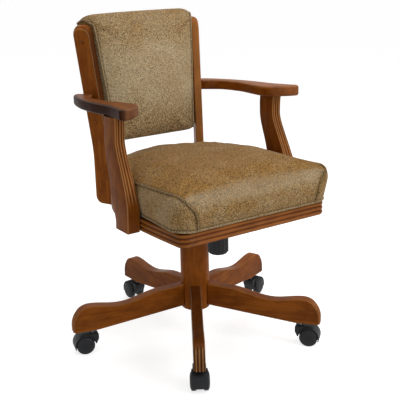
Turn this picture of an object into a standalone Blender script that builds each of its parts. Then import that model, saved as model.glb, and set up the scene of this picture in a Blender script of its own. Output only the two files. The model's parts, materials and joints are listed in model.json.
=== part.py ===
"""Wood-framed swivel arm chair on a five-leg caster base.

Metres, +Z up.  The origin is on the floor, on the axis of the column.  The chair faces -Y and the
sitter's left hand is at +X.  The five legs are turned against the seat, as a swivel base stands.
"""

import math

import bmesh
import bpy
from mathutils import Matrix, Vector

for old in list(bpy.data.objects):
    bpy.data.objects.remove(old, do_unlink=True)

# Clearances
GAP = 0.0003

# Casters
WHEEL_RADIUS = 0.026
WHEEL_WIDTH = 0.0165
WHEEL_EDGE = 0.0025
WHEEL_DOME_WIDTH = 0.006
WHEEL_DOME_RISE = 0.019
WHEEL_SPACING = 0.0195
AXLE_RADIUS = 0.003
FENDER_CLEARANCE = 0.0018
FENDER_WALL = 0.003
FENDER_FRONT_ANGLE = math.radians(-18)
FENDER_REAR_ANGLE = math.radians(150)
FENDER_HALF_WIDTH = 0.0215
FENDER_EDGE = 0.0030
FENDER_EDGE_DROP = 0.0012
NECK_REAR = 0.0155
NECK_ROUND = 0.0040
NECK_HALF_WIDTH = 0.0180
NECK_EDGE = 0.0030
NECK_EDGE_DROP = 0.0022
NECK_SLOPE_HEIGHT = 0.0140
NECK_SLOPE_DEPTH = 0.0070
WEB_CLEARANCE = 0.0012
CASTER_TRAIL = 0.024
COLLAR_RADIUS = 0.0092
COLLAR_HEIGHT = 0.028
STEM_RADIUS = 0.0055
STEM_LENGTH = 0.042
STEM_SHOW = 0.0085

# Five-leg base
LEG_COUNT = 5
FIRST_LEG_ANGLE = math.radians(-32)
LEG_REACH = 0.3685
LEG_THICKNESS = 0.031
LEG_HUB_BOTTOM = 0.096
LEG_HUB_HEIGHT = 0.066
LEG_SHOULDER = 0.095
LEG_WAIST_REACH = 0.232
LEG_WAIST_HEIGHT = 0.0650
LEG_KNEE_REACH = 0.318
LEG_KNEE_HEIGHT = 0.0745
LEG_TOE_HEIGHT = 0.018
LEG_FLAT_REACH = 0.296
CASTER_REACH = 0.313

# Column and gas lift
COLUMN_RADIUS = 0.0415
COLUMN_BOTTOM = 0.085
COLUMN_HEIGHT = 0.265
STAND_TUBE_RADIUS = 0.0247
STAND_TUBE_WALL = 0.0025
STAND_TUBE_RECESS = 0.008
STAND_TUBE_FLOOR = 0.003
STAND_TUBE_SHOW = 0.003
BUSH_LENGTH = 0.060
BUSH_FLANGE = 0.0034
CYLINDER_RADIUS = 0.014
CYLINDER_LENGTH = 0.205
ROD_RADIUS = 0.005
ROD_LENGTH = 0.185
CLIP_RADIUS = 0.010
CLIP_THICKNESS = 0.002
WASHER_RADIUS = 0.012
WASHER_THICKNESS = 0.004
VALVE_RADIUS = 0.003
VALVE_LENGTH = 0.0140
VALVE_TRAVEL = 0.0040

# Tilt mechanism
SOCKET_RADIUS = 0.019
SOCKET_LENGTH = 0.016
HOUSING_WIDTH = 0.070
HOUSING_WALL = 0.003
HOUSING_FRONT = -0.151
HOUSING_REAR = 0.052
HOUSING_FRONT_HEIGHT = 0.012
HOUSING_MIDDLE_HEIGHT = 0.037
HOUSING_REAR_HEIGHT = 0.014
TILT_PIN_Y = -0.045
TILT_PIN_RISE = 0.026
TILT_PIN_RADIUS = 0.005
TILT_PIN_HEAD = 0.0025
PLATE_RISE = 0.0437
PLATE_THICKNESS = 0.004
PLATE_HALF_WIDTH = 0.090
PLATE_FRONT = -0.140
PLATE_REAR = 0.085
EAR_HALF_LENGTH = 0.013
EAR_THICKNESS = 0.003
BOLT_Y = -0.121
BOLT_RADIUS = 0.005
BOLT_SLOT_FORWARD = 0.014
BOLT_SLOT_REARWARD = 0.006
KNOB_RADIUS = 0.029
KNOB_HEIGHT = 0.048
KNOB_DROP = 0.038
KNOB_RIBS = 16
KNOB_RIB_DEPTH = 0.0014
KNOB_CUP_RADIUS = 0.018
KNOB_CUP_DEPTH = 0.010
SPRING_RADIUS = 0.0105
SPRING_WIRE = 0.0032
SPRING_TURNS = 5
SPRING_POINTS_PER_TURN = 9
LEVER_RADIUS = 0.004
LEVER_RISE = 0.0135
LEVER_REACH = 0.186
LEVER_INNER_REACH = 0.006
LEVER_PADDLE_LENGTH = 0.042
LEVER_PADDLE_WIDTH = 0.018

# Seat frame
RAIL_HEIGHT = 0.0365
RAIL_THICKNESS = 0.018
RAIL_BEADS = 3
BEAD_BULGE = 0.0025
SEAT_FRONT = -0.2985
SEAT_HALF_WIDTH = 0.2400
SEAT_FRONT_TAPER = 0.0125
SEAT_WIDEST_Y = -0.060
SEAT_REAR = 0.2475
SEAT_CORNER_RADIUS = 0.022
FRONT_JOINT_INSET = 0.0425
REAR_JOINT_SHARE = 0.5
BOARD_THICKNESS = 0.0155

# Seat cushion
CUSHION_OVERHANG = 0.0115
CUSHION_SIDE_INSET = 0.0025
CUSHION_FRONT_FLARE = 0.0165
CUSHION_CORNER_RADIUS = 0.040
CUSHION_REAR_INSET = 0.006
CUSHION_SIDE_HEIGHT = 0.091
CUSHION_CROWN = 0.022
CUSHION_REAR_DROP = 0.012
CUSHION_BULGE = 0.0036

# Arm posts
POST_THICKNESS = 0.036
POST_TOP_THICKNESS = 0.029
POST_INNER_LEAN = 0.0045
POST_FOOT_FRONT = -0.123
POST_FOOT_DEPTH = 0.066
POST_SWEEP = 0.062

# Arms
ARM_THICKNESS = 0.029
ARM_FRONT_TOP = 0.722
ARM_REAR_TOP = 0.7015
ARM_FRONT_Y = -0.134
ARM_REAR_Y = 0.269
ARM_EDGE = 0.006
ARM_HAND_WIDTH = 0.073

# Back stiles
STILE_TURN = math.radians(25)
STILE_OUTER_OFFSET = 0.071
STILE_THICKNESS = 0.023
STILE_DEPTH = 0.057
STILE_FRONT_REACH = 0.2360
STILE_BOTTOM = 0.379
STILE_TOP = 0.893
STILE_BEND_Z = 0.535
STILE_RAKE = 0.142
STILE_END_RADIUS = 0.022
PLUG_RADIUS = 0.0055
PLUG_DOME = 0.003
PLUG_HEIGHTS = (0.623, 0.846)

# Back
BACK_BOTTOM = 0.561
BACK_TOP = 0.922
BACK_FORWARD = 0.022
BACK_CROWN = 0.016
BACK_BOARD_SET = 0.014
BACK_BOARD_THICKNESS = 0.012
BACK_BOARD_MARGIN = 0.014
BACK_ROLL_HEIGHT = 0.036
BACK_ROLL_REACH = 0.006
BACK_FOOT_TUCK = 0.010
BACK_PANEL_SET = 0.003

# Heights and widths that follow from the pieces below and beside
WHEEL_INNER = WHEEL_SPACING / 2
FENDER_INNER = WHEEL_RADIUS + FENDER_CLEARANCE
FENDER_OUTER = FENDER_INNER + FENDER_WALL
COLLAR_TOP = WHEEL_RADIUS + FENDER_OUTER + GAP
LEG_UNDERSIDE = COLLAR_TOP + STEM_SHOW
COLUMN_TOP = COLUMN_BOTTOM + COLUMN_HEIGHT
TUBE_INNER = STAND_TUBE_RADIUS - STAND_TUBE_WALL
TUBE_BOTTOM = COLUMN_BOTTOM + STAND_TUBE_RECESS
TUBE_FLOOR_TOP = TUBE_BOTTOM + STAND_TUBE_FLOOR
TUBE_TOP = COLUMN_TOP + STAND_TUBE_SHOW
BUSH_TOP = TUBE_TOP + GAP + BUSH_FLANGE
SOCKET_BOTTOM = BUSH_TOP + GAP
HOUSING_BOTTOM = SOCKET_BOTTOM + SOCKET_LENGTH
HOUSING_FLOOR = HOUSING_BOTTOM + HOUSING_WALL
CYLINDER_TOP = HOUSING_FLOOR
CYLINDER_BOTTOM = CYLINDER_TOP - CYLINDER_LENGTH
LEVER_Z = HOUSING_BOTTOM + LEVER_RISE
LEVER_PIVOT = (HOUSING_WIDTH - HOUSING_WALL) / 2
VALVE_TOP = LEVER_Z - LEVER_RADIUS - GAP
TILT_PIN_Z = HOUSING_BOTTOM + TILT_PIN_RISE
PLATE_BOTTOM = HOUSING_BOTTOM + PLATE_RISE
PLATE_TOP = PLATE_BOTTOM + PLATE_THICKNESS
BOARD_BOTTOM = PLATE_TOP + GAP
RAIL_TOP = BOARD_BOTTOM + BOARD_THICKNESS
RAIL_BOTTOM = RAIL_TOP - RAIL_HEIGHT
CUSHION_BOTTOM = RAIL_TOP + GAP
SEAT_FRONT_HALF_WIDTH = SEAT_HALF_WIDTH - SEAT_FRONT_TAPER
FRONT_JOINT_X = SEAT_FRONT_HALF_WIDTH - FRONT_JOINT_INSET
REAR_JOINT_X = SEAT_HALF_WIDTH * REAR_JOINT_SHARE
CUSHION_FRONT = SEAT_FRONT - CUSHION_OVERHANG
CUSHION_HALF_WIDTH = SEAT_HALF_WIDTH - CUSHION_SIDE_INSET
CUSHION_FRONT_HALF_WIDTH = SEAT_FRONT_HALF_WIDTH + CUSHION_FRONT_FLARE
KNOB_TOP = HOUSING_BOTTOM - KNOB_DROP
KNOB_BOTTOM = KNOB_TOP - KNOB_HEIGHT


# Finishes
def finish(name, colour, roughness, metallic=0.0):
    """One Principled finish; the colour is linear red, green and blue."""
    made = bpy.data.materials.new(name)
    made.use_nodes = True
    shader = made.node_tree.nodes["Principled BSDF"]
    shader.inputs["Base Color"].default_value = (*colour, 1.0)
    shader.inputs["Roughness"].default_value = roughness
    shader.inputs["Metallic"].default_value = metallic
    return made


STAINED_WOOD = (0.235, 0.085, 0.022)
FABRIC = (0.290, 0.215, 0.110)
BLACK_PLASTIC = (0.017, 0.018, 0.020)
STEEL = (0.560, 0.565, 0.570)
BLACK_STEEL = (0.030, 0.030, 0.032)
PALE_PLY = (0.480, 0.330, 0.180)


def wood(name):
    return finish(name, STAINED_WOOD, 0.32)


def fabric(name):
    return finish(name, FABRIC, 0.92)


def plastic(name):
    return finish(name, BLACK_PLASTIC, 0.45)


def steel(name):
    return finish(name, STEEL, 0.30, 1.0)


def black_steel(name):
    return finish(name, BLACK_STEEL, 0.45, 0.6)


def ply(name):
    return finish(name, PALE_PLY, 0.70)


# Mesh helpers
def closed_mesh(name, bm):
    """Turn a closed bmesh into a mesh whose faces point outwards."""
    bmesh.ops.remove_doubles(bm, verts=bm.verts, dist=0.000001)
    bmesh.ops.recalc_face_normals(bm, faces=bm.faces)
    mesh = bpy.data.meshes.new(name)
    bm.to_mesh(mesh)
    bm.free()
    return mesh


def loft(name, rings):
    """Join rings of equal length, one after the other, and close both ends."""
    bm = bmesh.new()
    loops = [[bm.verts.new(point) for point in ring] for ring in rings]
    count = len(rings[0])
    for low, high in zip(loops, loops[1:]):
        for i in range(count):
            j = (i + 1) % count
            bm.faces.new((low[i], low[j], high[j], high[i]))
    bm.faces.new(loops[0])
    bm.faces.new(loops[-1])
    return closed_mesh(name, bm)


def turned(name, profile, segments):
    """Turn a closed (radius, height) profile about Z; a radius of nought is a pole."""
    bm = bmesh.new()
    columns = []
    for radius, height in profile:
        if radius == 0.0:
            columns.append([bm.verts.new((0.0, 0.0, height))] * segments)
            continue
        column = []
        for i in range(segments):
            angle = 2 * math.pi * i / segments
            column.append(bm.verts.new((radius * math.cos(angle), radius * math.sin(angle), height)))
        columns.append(column)
    for near, far in zip(columns, columns[1:] + columns[:1]):
        for i in range(segments):
            j = (i + 1) % segments
            corners = []
            for vert in (near[i], near[j], far[j], far[i]):
                if vert not in corners:
                    corners.append(vert)
            if len(corners) > 2:
                bm.faces.new(corners)
    return closed_mesh(name, bm)


def disc(name, radius, low, high, segments=32):
    return turned(name, [(0.0, low), (radius, low), (radius, high), (0.0, high)], segments)


def tube(name, inner, outer, low, high, segments=32):
    return turned(name, [(inner, low), (outer, low), (outer, high), (inner, high)], segments)


def block(name, low, high):
    rings = []
    for z in (low[2], high[2]):
        rings.append([(low[0], low[1], z), (high[0], low[1], z),
                      (high[0], high[1], z), (low[0], high[1], z)])
    return loft(name, rings)


def moved(mesh, matrix):
    mesh.transform(matrix)
    if matrix.determinant() < 0:
        mesh.flip_normals()
    return mesh


def combine(mesh, other, operation):
    """Union or difference of two closed meshes."""
    body = bpy.data.objects.new("body", mesh)
    tool = bpy.data.objects.new("tool", other)
    for thing in (body, tool):
        bpy.context.scene.collection.objects.link(thing)
    step = body.modifiers.new("combine", "BOOLEAN")
    step.operation = operation
    step.solver = "EXACT"
    step.object = tool
    graph = bpy.context.evaluated_depsgraph_get()
    result = bpy.data.meshes.new_from_object(body.evaluated_get(graph))
    for thing in (body, tool):
        bpy.data.objects.remove(thing, do_unlink=True)
    return result


def axis_empty(name, place, turn=0.0):
    """An empty on a joint's axis, which carries the pieces that move about it."""
    made = bpy.data.objects.new(name, None)
    made.location = place
    made.rotation_euler = (0.0, 0.0, turn)
    bpy.context.scene.collection.objects.link(made)
    return made


def piece(name, mesh, look, carrier=None, in_world=True, smooth_angle=30):
    """Add a finished piece; in_world pieces keep their world place under their carrier."""
    mesh.name = name
    mesh.materials.clear()
    mesh.materials.append(look)
    mesh.shade_smooth()
    mesh.set_sharp_from_angle(angle=math.radians(smooth_angle))
    made = bpy.data.objects.new(name, mesh)
    bpy.context.scene.collection.objects.link(made)
    if carrier is not None:
        made.parent = carrier
        if in_world:
            made.matrix_parent_inverse = Matrix.Translation(carrier.location).inverted()
    return made


def smooth_points(points, per_span, closed=False):
    """Points of a Catmull-Rom curve that passes through the given ones."""
    count = len(points)
    spans = count if closed else count - 1
    out = []
    for i in range(spans):
        if closed:
            p0, p1, p2, p3 = (Vector(points[(i + k) % count]) for k in (-1, 0, 1, 2))
        else:
            p0, p1, p2, p3 = (Vector(points[min(max(i + k, 0), count - 1)]) for k in (-1, 0, 1, 2))
        for step in range(per_span):
            t = step / per_span
            out.append(0.5 * (2 * p1 + (p2 - p0) * t + (2 * p0 - 5 * p1 + 4 * p2 - p3) * t * t
                              + (3 * p1 - p0 - 3 * p2 + p3) * t * t * t))
    if not closed:
        out.append(Vector(points[-1]))
    return out


def ease(t):
    return (1 - math.cos(math.pi * t)) / 2


# Casters: a hood with a moulded-in steel stem, an axle and two wheels that turn on it
def fender_outline(drop):
    """Side outline of the fender over the wheels, its outer face lowered by a drop."""
    span = FENDER_REAR_ANGLE - FENDER_FRONT_ANGLE
    steps = 13
    points = []
    outward = list(range(steps + 1))
    for radius, order in ((FENDER_OUTER - drop, outward), (FENDER_INNER, list(reversed(outward)))):
        for i in order:
            angle = FENDER_FRONT_ANGLE + span * i / steps
            points.append((CASTER_TRAIL + radius * math.cos(angle), WHEEL_RADIUS + radius * math.sin(angle)))
    return points


def neck_outline(drop):
    """Side outline of the neck behind the wheels that carries the stem, drawn in by a drop."""
    inner = FENDER_INNER + FENDER_WALL * 0.25
    rear = drop - NECK_REAR
    top = WHEEL_RADIUS + FENDER_OUTER - drop
    points = []
    steps = 6
    for i in range(steps + 1):
        angle = math.radians(175 - 80 * i / steps)
        points.append((CASTER_TRAIL + inner * math.cos(angle), WHEEL_RADIUS + inner * math.sin(angle)))
    points.append((CASTER_TRAIL - NECK_ROUND, top))
    points.append((rear + NECK_ROUND, top))
    points.append((rear + NECK_ROUND * 0.3, top - NECK_ROUND * 0.3))
    points.append((rear, top - NECK_ROUND))
    points.append((rear, WHEEL_RADIUS + NECK_SLOPE_HEIGHT))
    points.append((rear + NECK_SLOPE_DEPTH, WHEEL_RADIUS + GAP))
    return points


def caster_hood_mesh():
    fender = []
    for side, drop in ((-FENDER_HALF_WIDTH, FENDER_EDGE_DROP), (FENDER_EDGE - FENDER_HALF_WIDTH, 0.0),
                       (FENDER_HALF_WIDTH - FENDER_EDGE, 0.0), (FENDER_HALF_WIDTH, FENDER_EDGE_DROP)):
        fender.append([(x, side, z) for x, z in fender_outline(drop)])
    neck = []
    for side, drop in ((-NECK_HALF_WIDTH, NECK_EDGE_DROP), (NECK_EDGE - NECK_HALF_WIDTH, 0.0),
                       (NECK_HALF_WIDTH - NECK_EDGE, 0.0), (NECK_HALF_WIDTH, NECK_EDGE_DROP)):
        neck.append([(x, side, z) for x, z in neck_outline(drop)])
    hood = combine(loft("fender", fender), loft("neck", neck), "UNION")
    web_half = WHEEL_INNER - WEB_CLEARANCE
    web_radius = FENDER_INNER + FENDER_WALL / 2
    web_outline = []
    steps = 12
    for i in range(steps + 1):
        angle = FENDER_FRONT_ANGLE + (math.pi * 0.84 - FENDER_FRONT_ANGLE) * i / steps
        web_outline.append((CASTER_TRAIL + web_radius * math.cos(angle),
                            WHEEL_RADIUS + web_radius * math.sin(angle)))
    web_outline.append((CASTER_TRAIL - WHEEL_RADIUS * 0.35, WHEEL_RADIUS * 0.60))
    web_outline.append((CASTER_TRAIL + WHEEL_RADIUS * 0.45, WHEEL_RADIUS * 0.60))
    web = []
    for side in (-web_half, web_half):
        web.append([(x, side, z) for x, z in web_outline])
    hood = combine(hood, loft("web", web), "UNION")
    collar = disc("collar", COLLAR_RADIUS, COLLAR_TOP - COLLAR_HEIGHT, COLLAR_TOP, 20)
    hood = combine(hood, collar, "UNION")
    stem = disc("stem", STEM_RADIUS, COLLAR_TOP - COLLAR_HEIGHT / 2, COLLAR_TOP + STEM_LENGTH, 16)
    hood = combine(hood, stem, "UNION")
    bore = disc("bore", AXLE_RADIUS + GAP, -FENDER_HALF_WIDTH, FENDER_HALF_WIDTH, 12)
    moved(bore, Matrix.Translation((CASTER_TRAIL, 0, WHEEL_RADIUS)) @ Matrix.Rotation(math.pi / 2, 4, "X"))
    return combine(hood, bore, "DIFFERENCE")


def caster_wheel_mesh(side):
    """One wheel about its own centre, its outer face domed."""
    half = WHEEL_WIDTH / 2
    bore = AXLE_RADIUS + GAP
    profile = [(bore, -half), (WHEEL_RADIUS - WHEEL_EDGE, -half), (WHEEL_RADIUS, -half + WHEEL_EDGE)]
    steps = 3
    for i in range(steps + 1):
        angle = math.pi / 2 * i / steps
        profile.append((WHEEL_RADIUS - WHEEL_DOME_RISE * (1 - math.cos(angle)),
                        half - WHEEL_DOME_WIDTH * (1 - math.sin(angle))))
    profile.append((bore, half))
    mesh = turned("wheel", profile, 28)
    return moved(mesh, Matrix.Rotation(-side * math.pi / 2, 4, "X"))


def leg_direction(index):
    angle = FIRST_LEG_ANGLE + index * 2 * math.pi / LEG_COUNT
    return Vector((math.sin(angle), -math.cos(angle), 0.0)), angle - math.pi / 2


def casters():
    hood = caster_hood_mesh()
    axle_half = WHEEL_INNER + WHEEL_WIDTH - GAP
    axle = disc("axle", AXLE_RADIUS, -axle_half, axle_half, 12)
    moved(axle, Matrix.Translation((CASTER_TRAIL, 0, WHEEL_RADIUS)) @ Matrix.Rotation(math.pi / 2, 4, "X"))
    hood_look = plastic("caster hood nylon")
    wheel_look = plastic("caster wheel nylon")
    axle_look = steel("caster axle steel")
    for index in range(LEG_COUNT):
        outward, turn = leg_direction(index)
        number = index + 1
        pivot = axis_empty(f"caster_pivot_{number}", outward * CASTER_REACH, turn)
        piece(f"caster_hood_{number}", hood.copy(), hood_look, pivot, False)
        piece(f"caster_axle_{number}", axle.copy(), axle_look, pivot, False)
        for word, side in (("right", -1), ("left", 1)):
            mesh = caster_wheel_mesh(side)
            wheel = piece(f"caster_wheel_{number}_{word}", mesh, wheel_look, pivot, False)
            wheel.location = (CASTER_TRAIL, side * (WHEEL_INNER + WHEEL_WIDTH / 2), WHEEL_RADIUS)


# Base: five shaped legs on a turned column
def leg_profile(hub_reach):
    """Side outline of a leg: a cyma top, a rounded toe and a flat pad over the caster."""
    top = LEG_HUB_BOTTOM + LEG_HUB_HEIGHT
    shoulder = top - LEG_HUB_HEIGHT * 0.1
    waist = LEG_UNDERSIDE + LEG_WAIST_HEIGHT
    knee = LEG_UNDERSIDE + LEG_KNEE_HEIGHT
    toe = LEG_UNDERSIDE + LEG_TOE_HEIGHT
    points = [(hub_reach, LEG_HUB_BOTTOM), (LEG_FLAT_REACH, LEG_UNDERSIDE), (LEG_REACH, LEG_UNDERSIDE)]
    steps = 6
    for i in range(steps + 1):
        angle = math.pi / 2 * i / steps
        points.append((LEG_KNEE_REACH + (LEG_REACH - LEG_KNEE_REACH) * math.cos(angle),
                       toe + (knee - toe) * math.sin(angle)))
    for i in range(1, 4):
        t = i / 3
        points.append((LEG_KNEE_REACH + (LEG_WAIST_REACH - LEG_KNEE_REACH) * t,
                       knee + (waist - knee) * ease(t)))
    for i in range(1, 6):
        t = i / 5
        points.append((LEG_WAIST_REACH + (LEG_SHOULDER - LEG_WAIST_REACH) * t,
                       waist + (shoulder - waist) * ease(t)))
    points.append((hub_reach, top))
    return points


def leg_mesh():
    """The leg lies along +X; its inner end is hollowed to the column."""
    rings = []
    slices = 6
    for i in range(slices + 1):
        across = LEG_THICKNESS * (i / slices - 0.5)
        hub_reach = math.sqrt((COLUMN_RADIUS + GAP) ** 2 - across ** 2)
        rings.append([(reach, across, z) for reach, z in leg_profile(hub_reach)])
    socket_top = COLLAR_TOP + STEM_LENGTH + GAP
    socket = disc("socket", STEM_RADIUS + GAP, LEG_UNDERSIDE - STEM_SHOW, socket_top, 16)
    moved(socket, Matrix.Translation((CASTER_REACH, 0, 0)))
    return combine(loft("leg", rings), socket, "DIFFERENCE")


def base():
    look = wood("base stained hardwood")
    leg = leg_mesh()
    for index in range(LEG_COUNT):
        made = piece(f"base_leg_{index + 1}", leg.copy(), look)
        made.rotation_euler = (0.0, 0.0, leg_direction(index)[1])
    column = tube("column", STAND_TUBE_RADIUS + GAP, COLUMN_RADIUS, COLUMN_BOTTOM, COLUMN_TOP, 60)
    piece("base_column", column, wood("column stained hardwood"))


# Gas lift inside the column
def gas_lift(swivel, carriage):
    rod_hole = ROD_RADIUS + GAP
    tube_profile = [(rod_hole, TUBE_BOTTOM), (STAND_TUBE_RADIUS, TUBE_BOTTOM),
                    (STAND_TUBE_RADIUS, TUBE_TOP), (TUBE_INNER, TUBE_TOP),
                    (TUBE_INNER, TUBE_FLOOR_TOP), (rod_hole, TUBE_FLOOR_TOP)]
    piece("stand_tube", turned("stand_tube", tube_profile, 32), black_steel("stand tube steel"))
    bore = CYLINDER_RADIUS + GAP
    bush_radius = TUBE_INNER - GAP
    bush_bottom = TUBE_TOP - BUSH_LENGTH
    flange_bottom = TUBE_TOP + GAP
    bush = [(bore, bush_bottom), (bush_radius, bush_bottom), (bush_radius, flange_bottom),
            (STAND_TUBE_RADIUS, flange_bottom), (STAND_TUBE_RADIUS, BUSH_TOP), (bore, BUSH_TOP)]
    piece("guide_bush", turned("guide_bush", bush, 32), plastic("guide bush acetal"))

    clip_top = TUBE_BOTTOM - GAP
    rod_bottom = clip_top - CLIP_THICKNESS - GAP
    washer_bottom = TUBE_FLOOR_TOP + GAP
    rod = disc("gas_rod", ROD_RADIUS, rod_bottom, rod_bottom + ROD_LENGTH, 20)
    piece("gas_rod", rod, steel("piston rod steel"), swivel)
    washer_top = washer_bottom + WASHER_THICKNESS
    washer = tube("thrust_washer", rod_hole, WASHER_RADIUS, washer_bottom, washer_top, 20)
    piece("thrust_washer", washer, steel("thrust washer steel"), swivel)
    clip = tube("rod_clip", rod_hole, CLIP_RADIUS, clip_top - CLIP_THICKNESS, clip_top, 20)
    piece("rod_clip", clip, steel("rod clip steel"), swivel)

    valve_hole = VALVE_RADIUS + GAP
    valve_bottom = VALVE_TOP - VALVE_LENGTH
    valve_floor = valve_bottom - VALVE_TRAVEL - GAP
    rod_bore_top = rod_bottom + ROD_LENGTH + GAP
    profile = [(rod_hole, CYLINDER_BOTTOM), (CYLINDER_RADIUS, CYLINDER_BOTTOM),
               (CYLINDER_RADIUS, CYLINDER_TOP), (valve_hole, CYLINDER_TOP), (valve_hole, valve_floor),
               (0.0, valve_floor), (0.0, rod_bore_top), (rod_hole, rod_bore_top)]
    cylinder = turned("gas_cylinder", profile, 28)
    piece("gas_cylinder", cylinder, black_steel("gas cylinder enamel"), carriage)
    valve = disc("valve_pin", VALVE_RADIUS, valve_bottom, VALVE_TOP, 14)
    piece("valve_pin", valve, steel("valve pin steel"), carriage)


# Tilt mechanism under the seat
def tilt_mechanism(carriage, tilt, knob_axis, lever_axis):
    half = HOUSING_WIDTH / 2
    inside = half - HOUSING_WALL
    stations = ((HOUSING_FRONT, HOUSING_FRONT_HEIGHT),
                (TILT_PIN_Y - EAR_HALF_LENGTH, HOUSING_MIDDLE_HEIGHT),
                (TILT_PIN_Y + EAR_HALF_LENGTH, HOUSING_MIDDLE_HEIGHT),
                (HOUSING_REAR, HOUSING_REAR_HEIGHT))
    rings = []
    for y, height in stations:
        top = HOUSING_BOTTOM + height
        rings.append([(-half, y, HOUSING_BOTTOM), (half, y, HOUSING_BOTTOM), (half, y, top),
                      (inside, y, top), (inside, y, HOUSING_FLOOR), (-inside, y, HOUSING_FLOOR),
                      (-inside, y, top), (-half, y, top)])
    housing = loft("housing", rings)
    socket = disc("socket", SOCKET_RADIUS, SOCKET_BOTTOM, HOUSING_BOTTOM + HOUSING_WALL / 2, 28)
    housing = combine(housing, socket, "UNION")
    bore = disc("bore", CYLINDER_RADIUS + GAP, SOCKET_BOTTOM - GAP, HOUSING_FLOOR + GAP, 28)
    housing = combine(housing, bore, "DIFFERENCE")
    across = Matrix.Rotation(math.pi / 2, 4, "Y")
    pin_hole = disc("pin_hole", TILT_PIN_RADIUS + GAP, -HOUSING_WIDTH, HOUSING_WIDTH, 16)
    moved(pin_hole, Matrix.Translation((0, TILT_PIN_Y, TILT_PIN_Z)) @ across)
    housing = combine(housing, pin_hole.copy(), "DIFFERENCE")
    lever_hole = disc("lever_hole", LEVER_RADIUS + GAP, -half - HOUSING_WALL, -inside + HOUSING_WALL, 16)
    moved(lever_hole, Matrix.Translation((0, 0, LEVER_Z)) @ across)
    housing = combine(housing, lever_hole, "DIFFERENCE")
    slot_half = BOLT_RADIUS + GAP
    slot = block("slot", (-slot_half, BOLT_Y - BOLT_SLOT_FORWARD, HOUSING_BOTTOM - GAP),
                 (slot_half, BOLT_Y + BOLT_SLOT_REARWARD, HOUSING_FLOOR + GAP))
    housing = combine(housing, slot, "DIFFERENCE")
    piece("tilt_housing", housing, black_steel("tilt housing pressed steel"), carriage)

    pin_half = half + GAP + TILT_PIN_HEAD
    pin = moved(disc("tilt_pin", TILT_PIN_RADIUS, -pin_half, pin_half, 16),
                Matrix.Translation((0, TILT_PIN_Y, TILT_PIN_Z)) @ across)
    piece("tilt_pin", pin, steel("tilt pin steel"), carriage)

    plate = block("plate", (-PLATE_HALF_WIDTH, PLATE_FRONT, PLATE_BOTTOM),
                  (PLATE_HALF_WIDTH, PLATE_REAR, PLATE_TOP))
    ear_outer = inside - GAP
    ear_drop = TILT_PIN_Z - 2 * TILT_PIN_RADIUS
    for side in (-1, 1):
        low, high = sorted((side * ear_outer, side * (ear_outer - EAR_THICKNESS)))
        ear = block("ear", (low, TILT_PIN_Y - EAR_HALF_LENGTH, ear_drop),
                    (high, TILT_PIN_Y + EAR_HALF_LENGTH, PLATE_BOTTOM + PLATE_THICKNESS / 2))
        plate = combine(plate, ear, "UNION")
    plate = combine(plate, pin_hole, "DIFFERENCE")
    piece("seat_plate", plate, black_steel("seat plate pressed steel"), tilt)

    cup_floor = KNOB_TOP - KNOB_CUP_DEPTH
    bolt = disc("tension_bolt", BOLT_RADIUS, KNOB_BOTTOM + KNOB_HEIGHT / 4, PLATE_BOTTOM - GAP, 16)
    moved(bolt, Matrix.Translation((0, BOLT_Y, 0)))
    piece("tension_bolt", bolt, steel("tension bolt steel"), tilt)
    piece("tension_knob", tension_knob_mesh(cup_floor), plastic("tension knob nylon"), knob_axis, False)
    piece("tension_spring", tension_spring_mesh(cup_floor), steel("tension spring steel"), tilt)
    piece("lift_lever", lift_lever_mesh(), plastic("lift lever nylon"), lever_axis)


def tension_knob_mesh(cup_floor):
    """Ribbed knob about its own axis, open at the top for the foot of the spring."""
    ribs = []
    for i in range(KNOB_RIBS * 2):
        ribs.append(KNOB_RADIUS - (KNOB_RIB_DEPTH if i % 2 else 0.0))
    edge = 0.004

    def ring(z, inset):
        points = []
        for i, radius in enumerate(ribs):
            angle = 2 * math.pi * i / len(ribs)
            points.append(((radius - inset) * math.cos(angle), (radius - inset) * math.sin(angle), z))
        return points

    def round_ring(z, radius):
        count = len(ribs)
        return [(radius * math.cos(2 * math.pi * i / count), radius * math.sin(2 * math.pi * i / count), z)
                for i in range(count)]

    bore = BOLT_RADIUS + GAP
    rings = [round_ring(KNOB_BOTTOM, bore), ring(KNOB_BOTTOM, edge), ring(KNOB_BOTTOM + edge, 0.0),
             ring(KNOB_TOP, 0.0), round_ring(KNOB_TOP, KNOB_CUP_RADIUS),
             round_ring(cup_floor, KNOB_CUP_RADIUS), round_ring(cup_floor, bore)]
    bm = bmesh.new()
    loops = [[bm.verts.new(point) for point in one] for one in rings]
    for near, far in zip(loops, loops[1:] + loops[:1]):
        for i in range(len(near)):
            j = (i + 1) % len(near)
            bm.faces.new((near[i], near[j], far[j], far[i]))
    return closed_mesh("tension_knob", bm)


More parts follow.
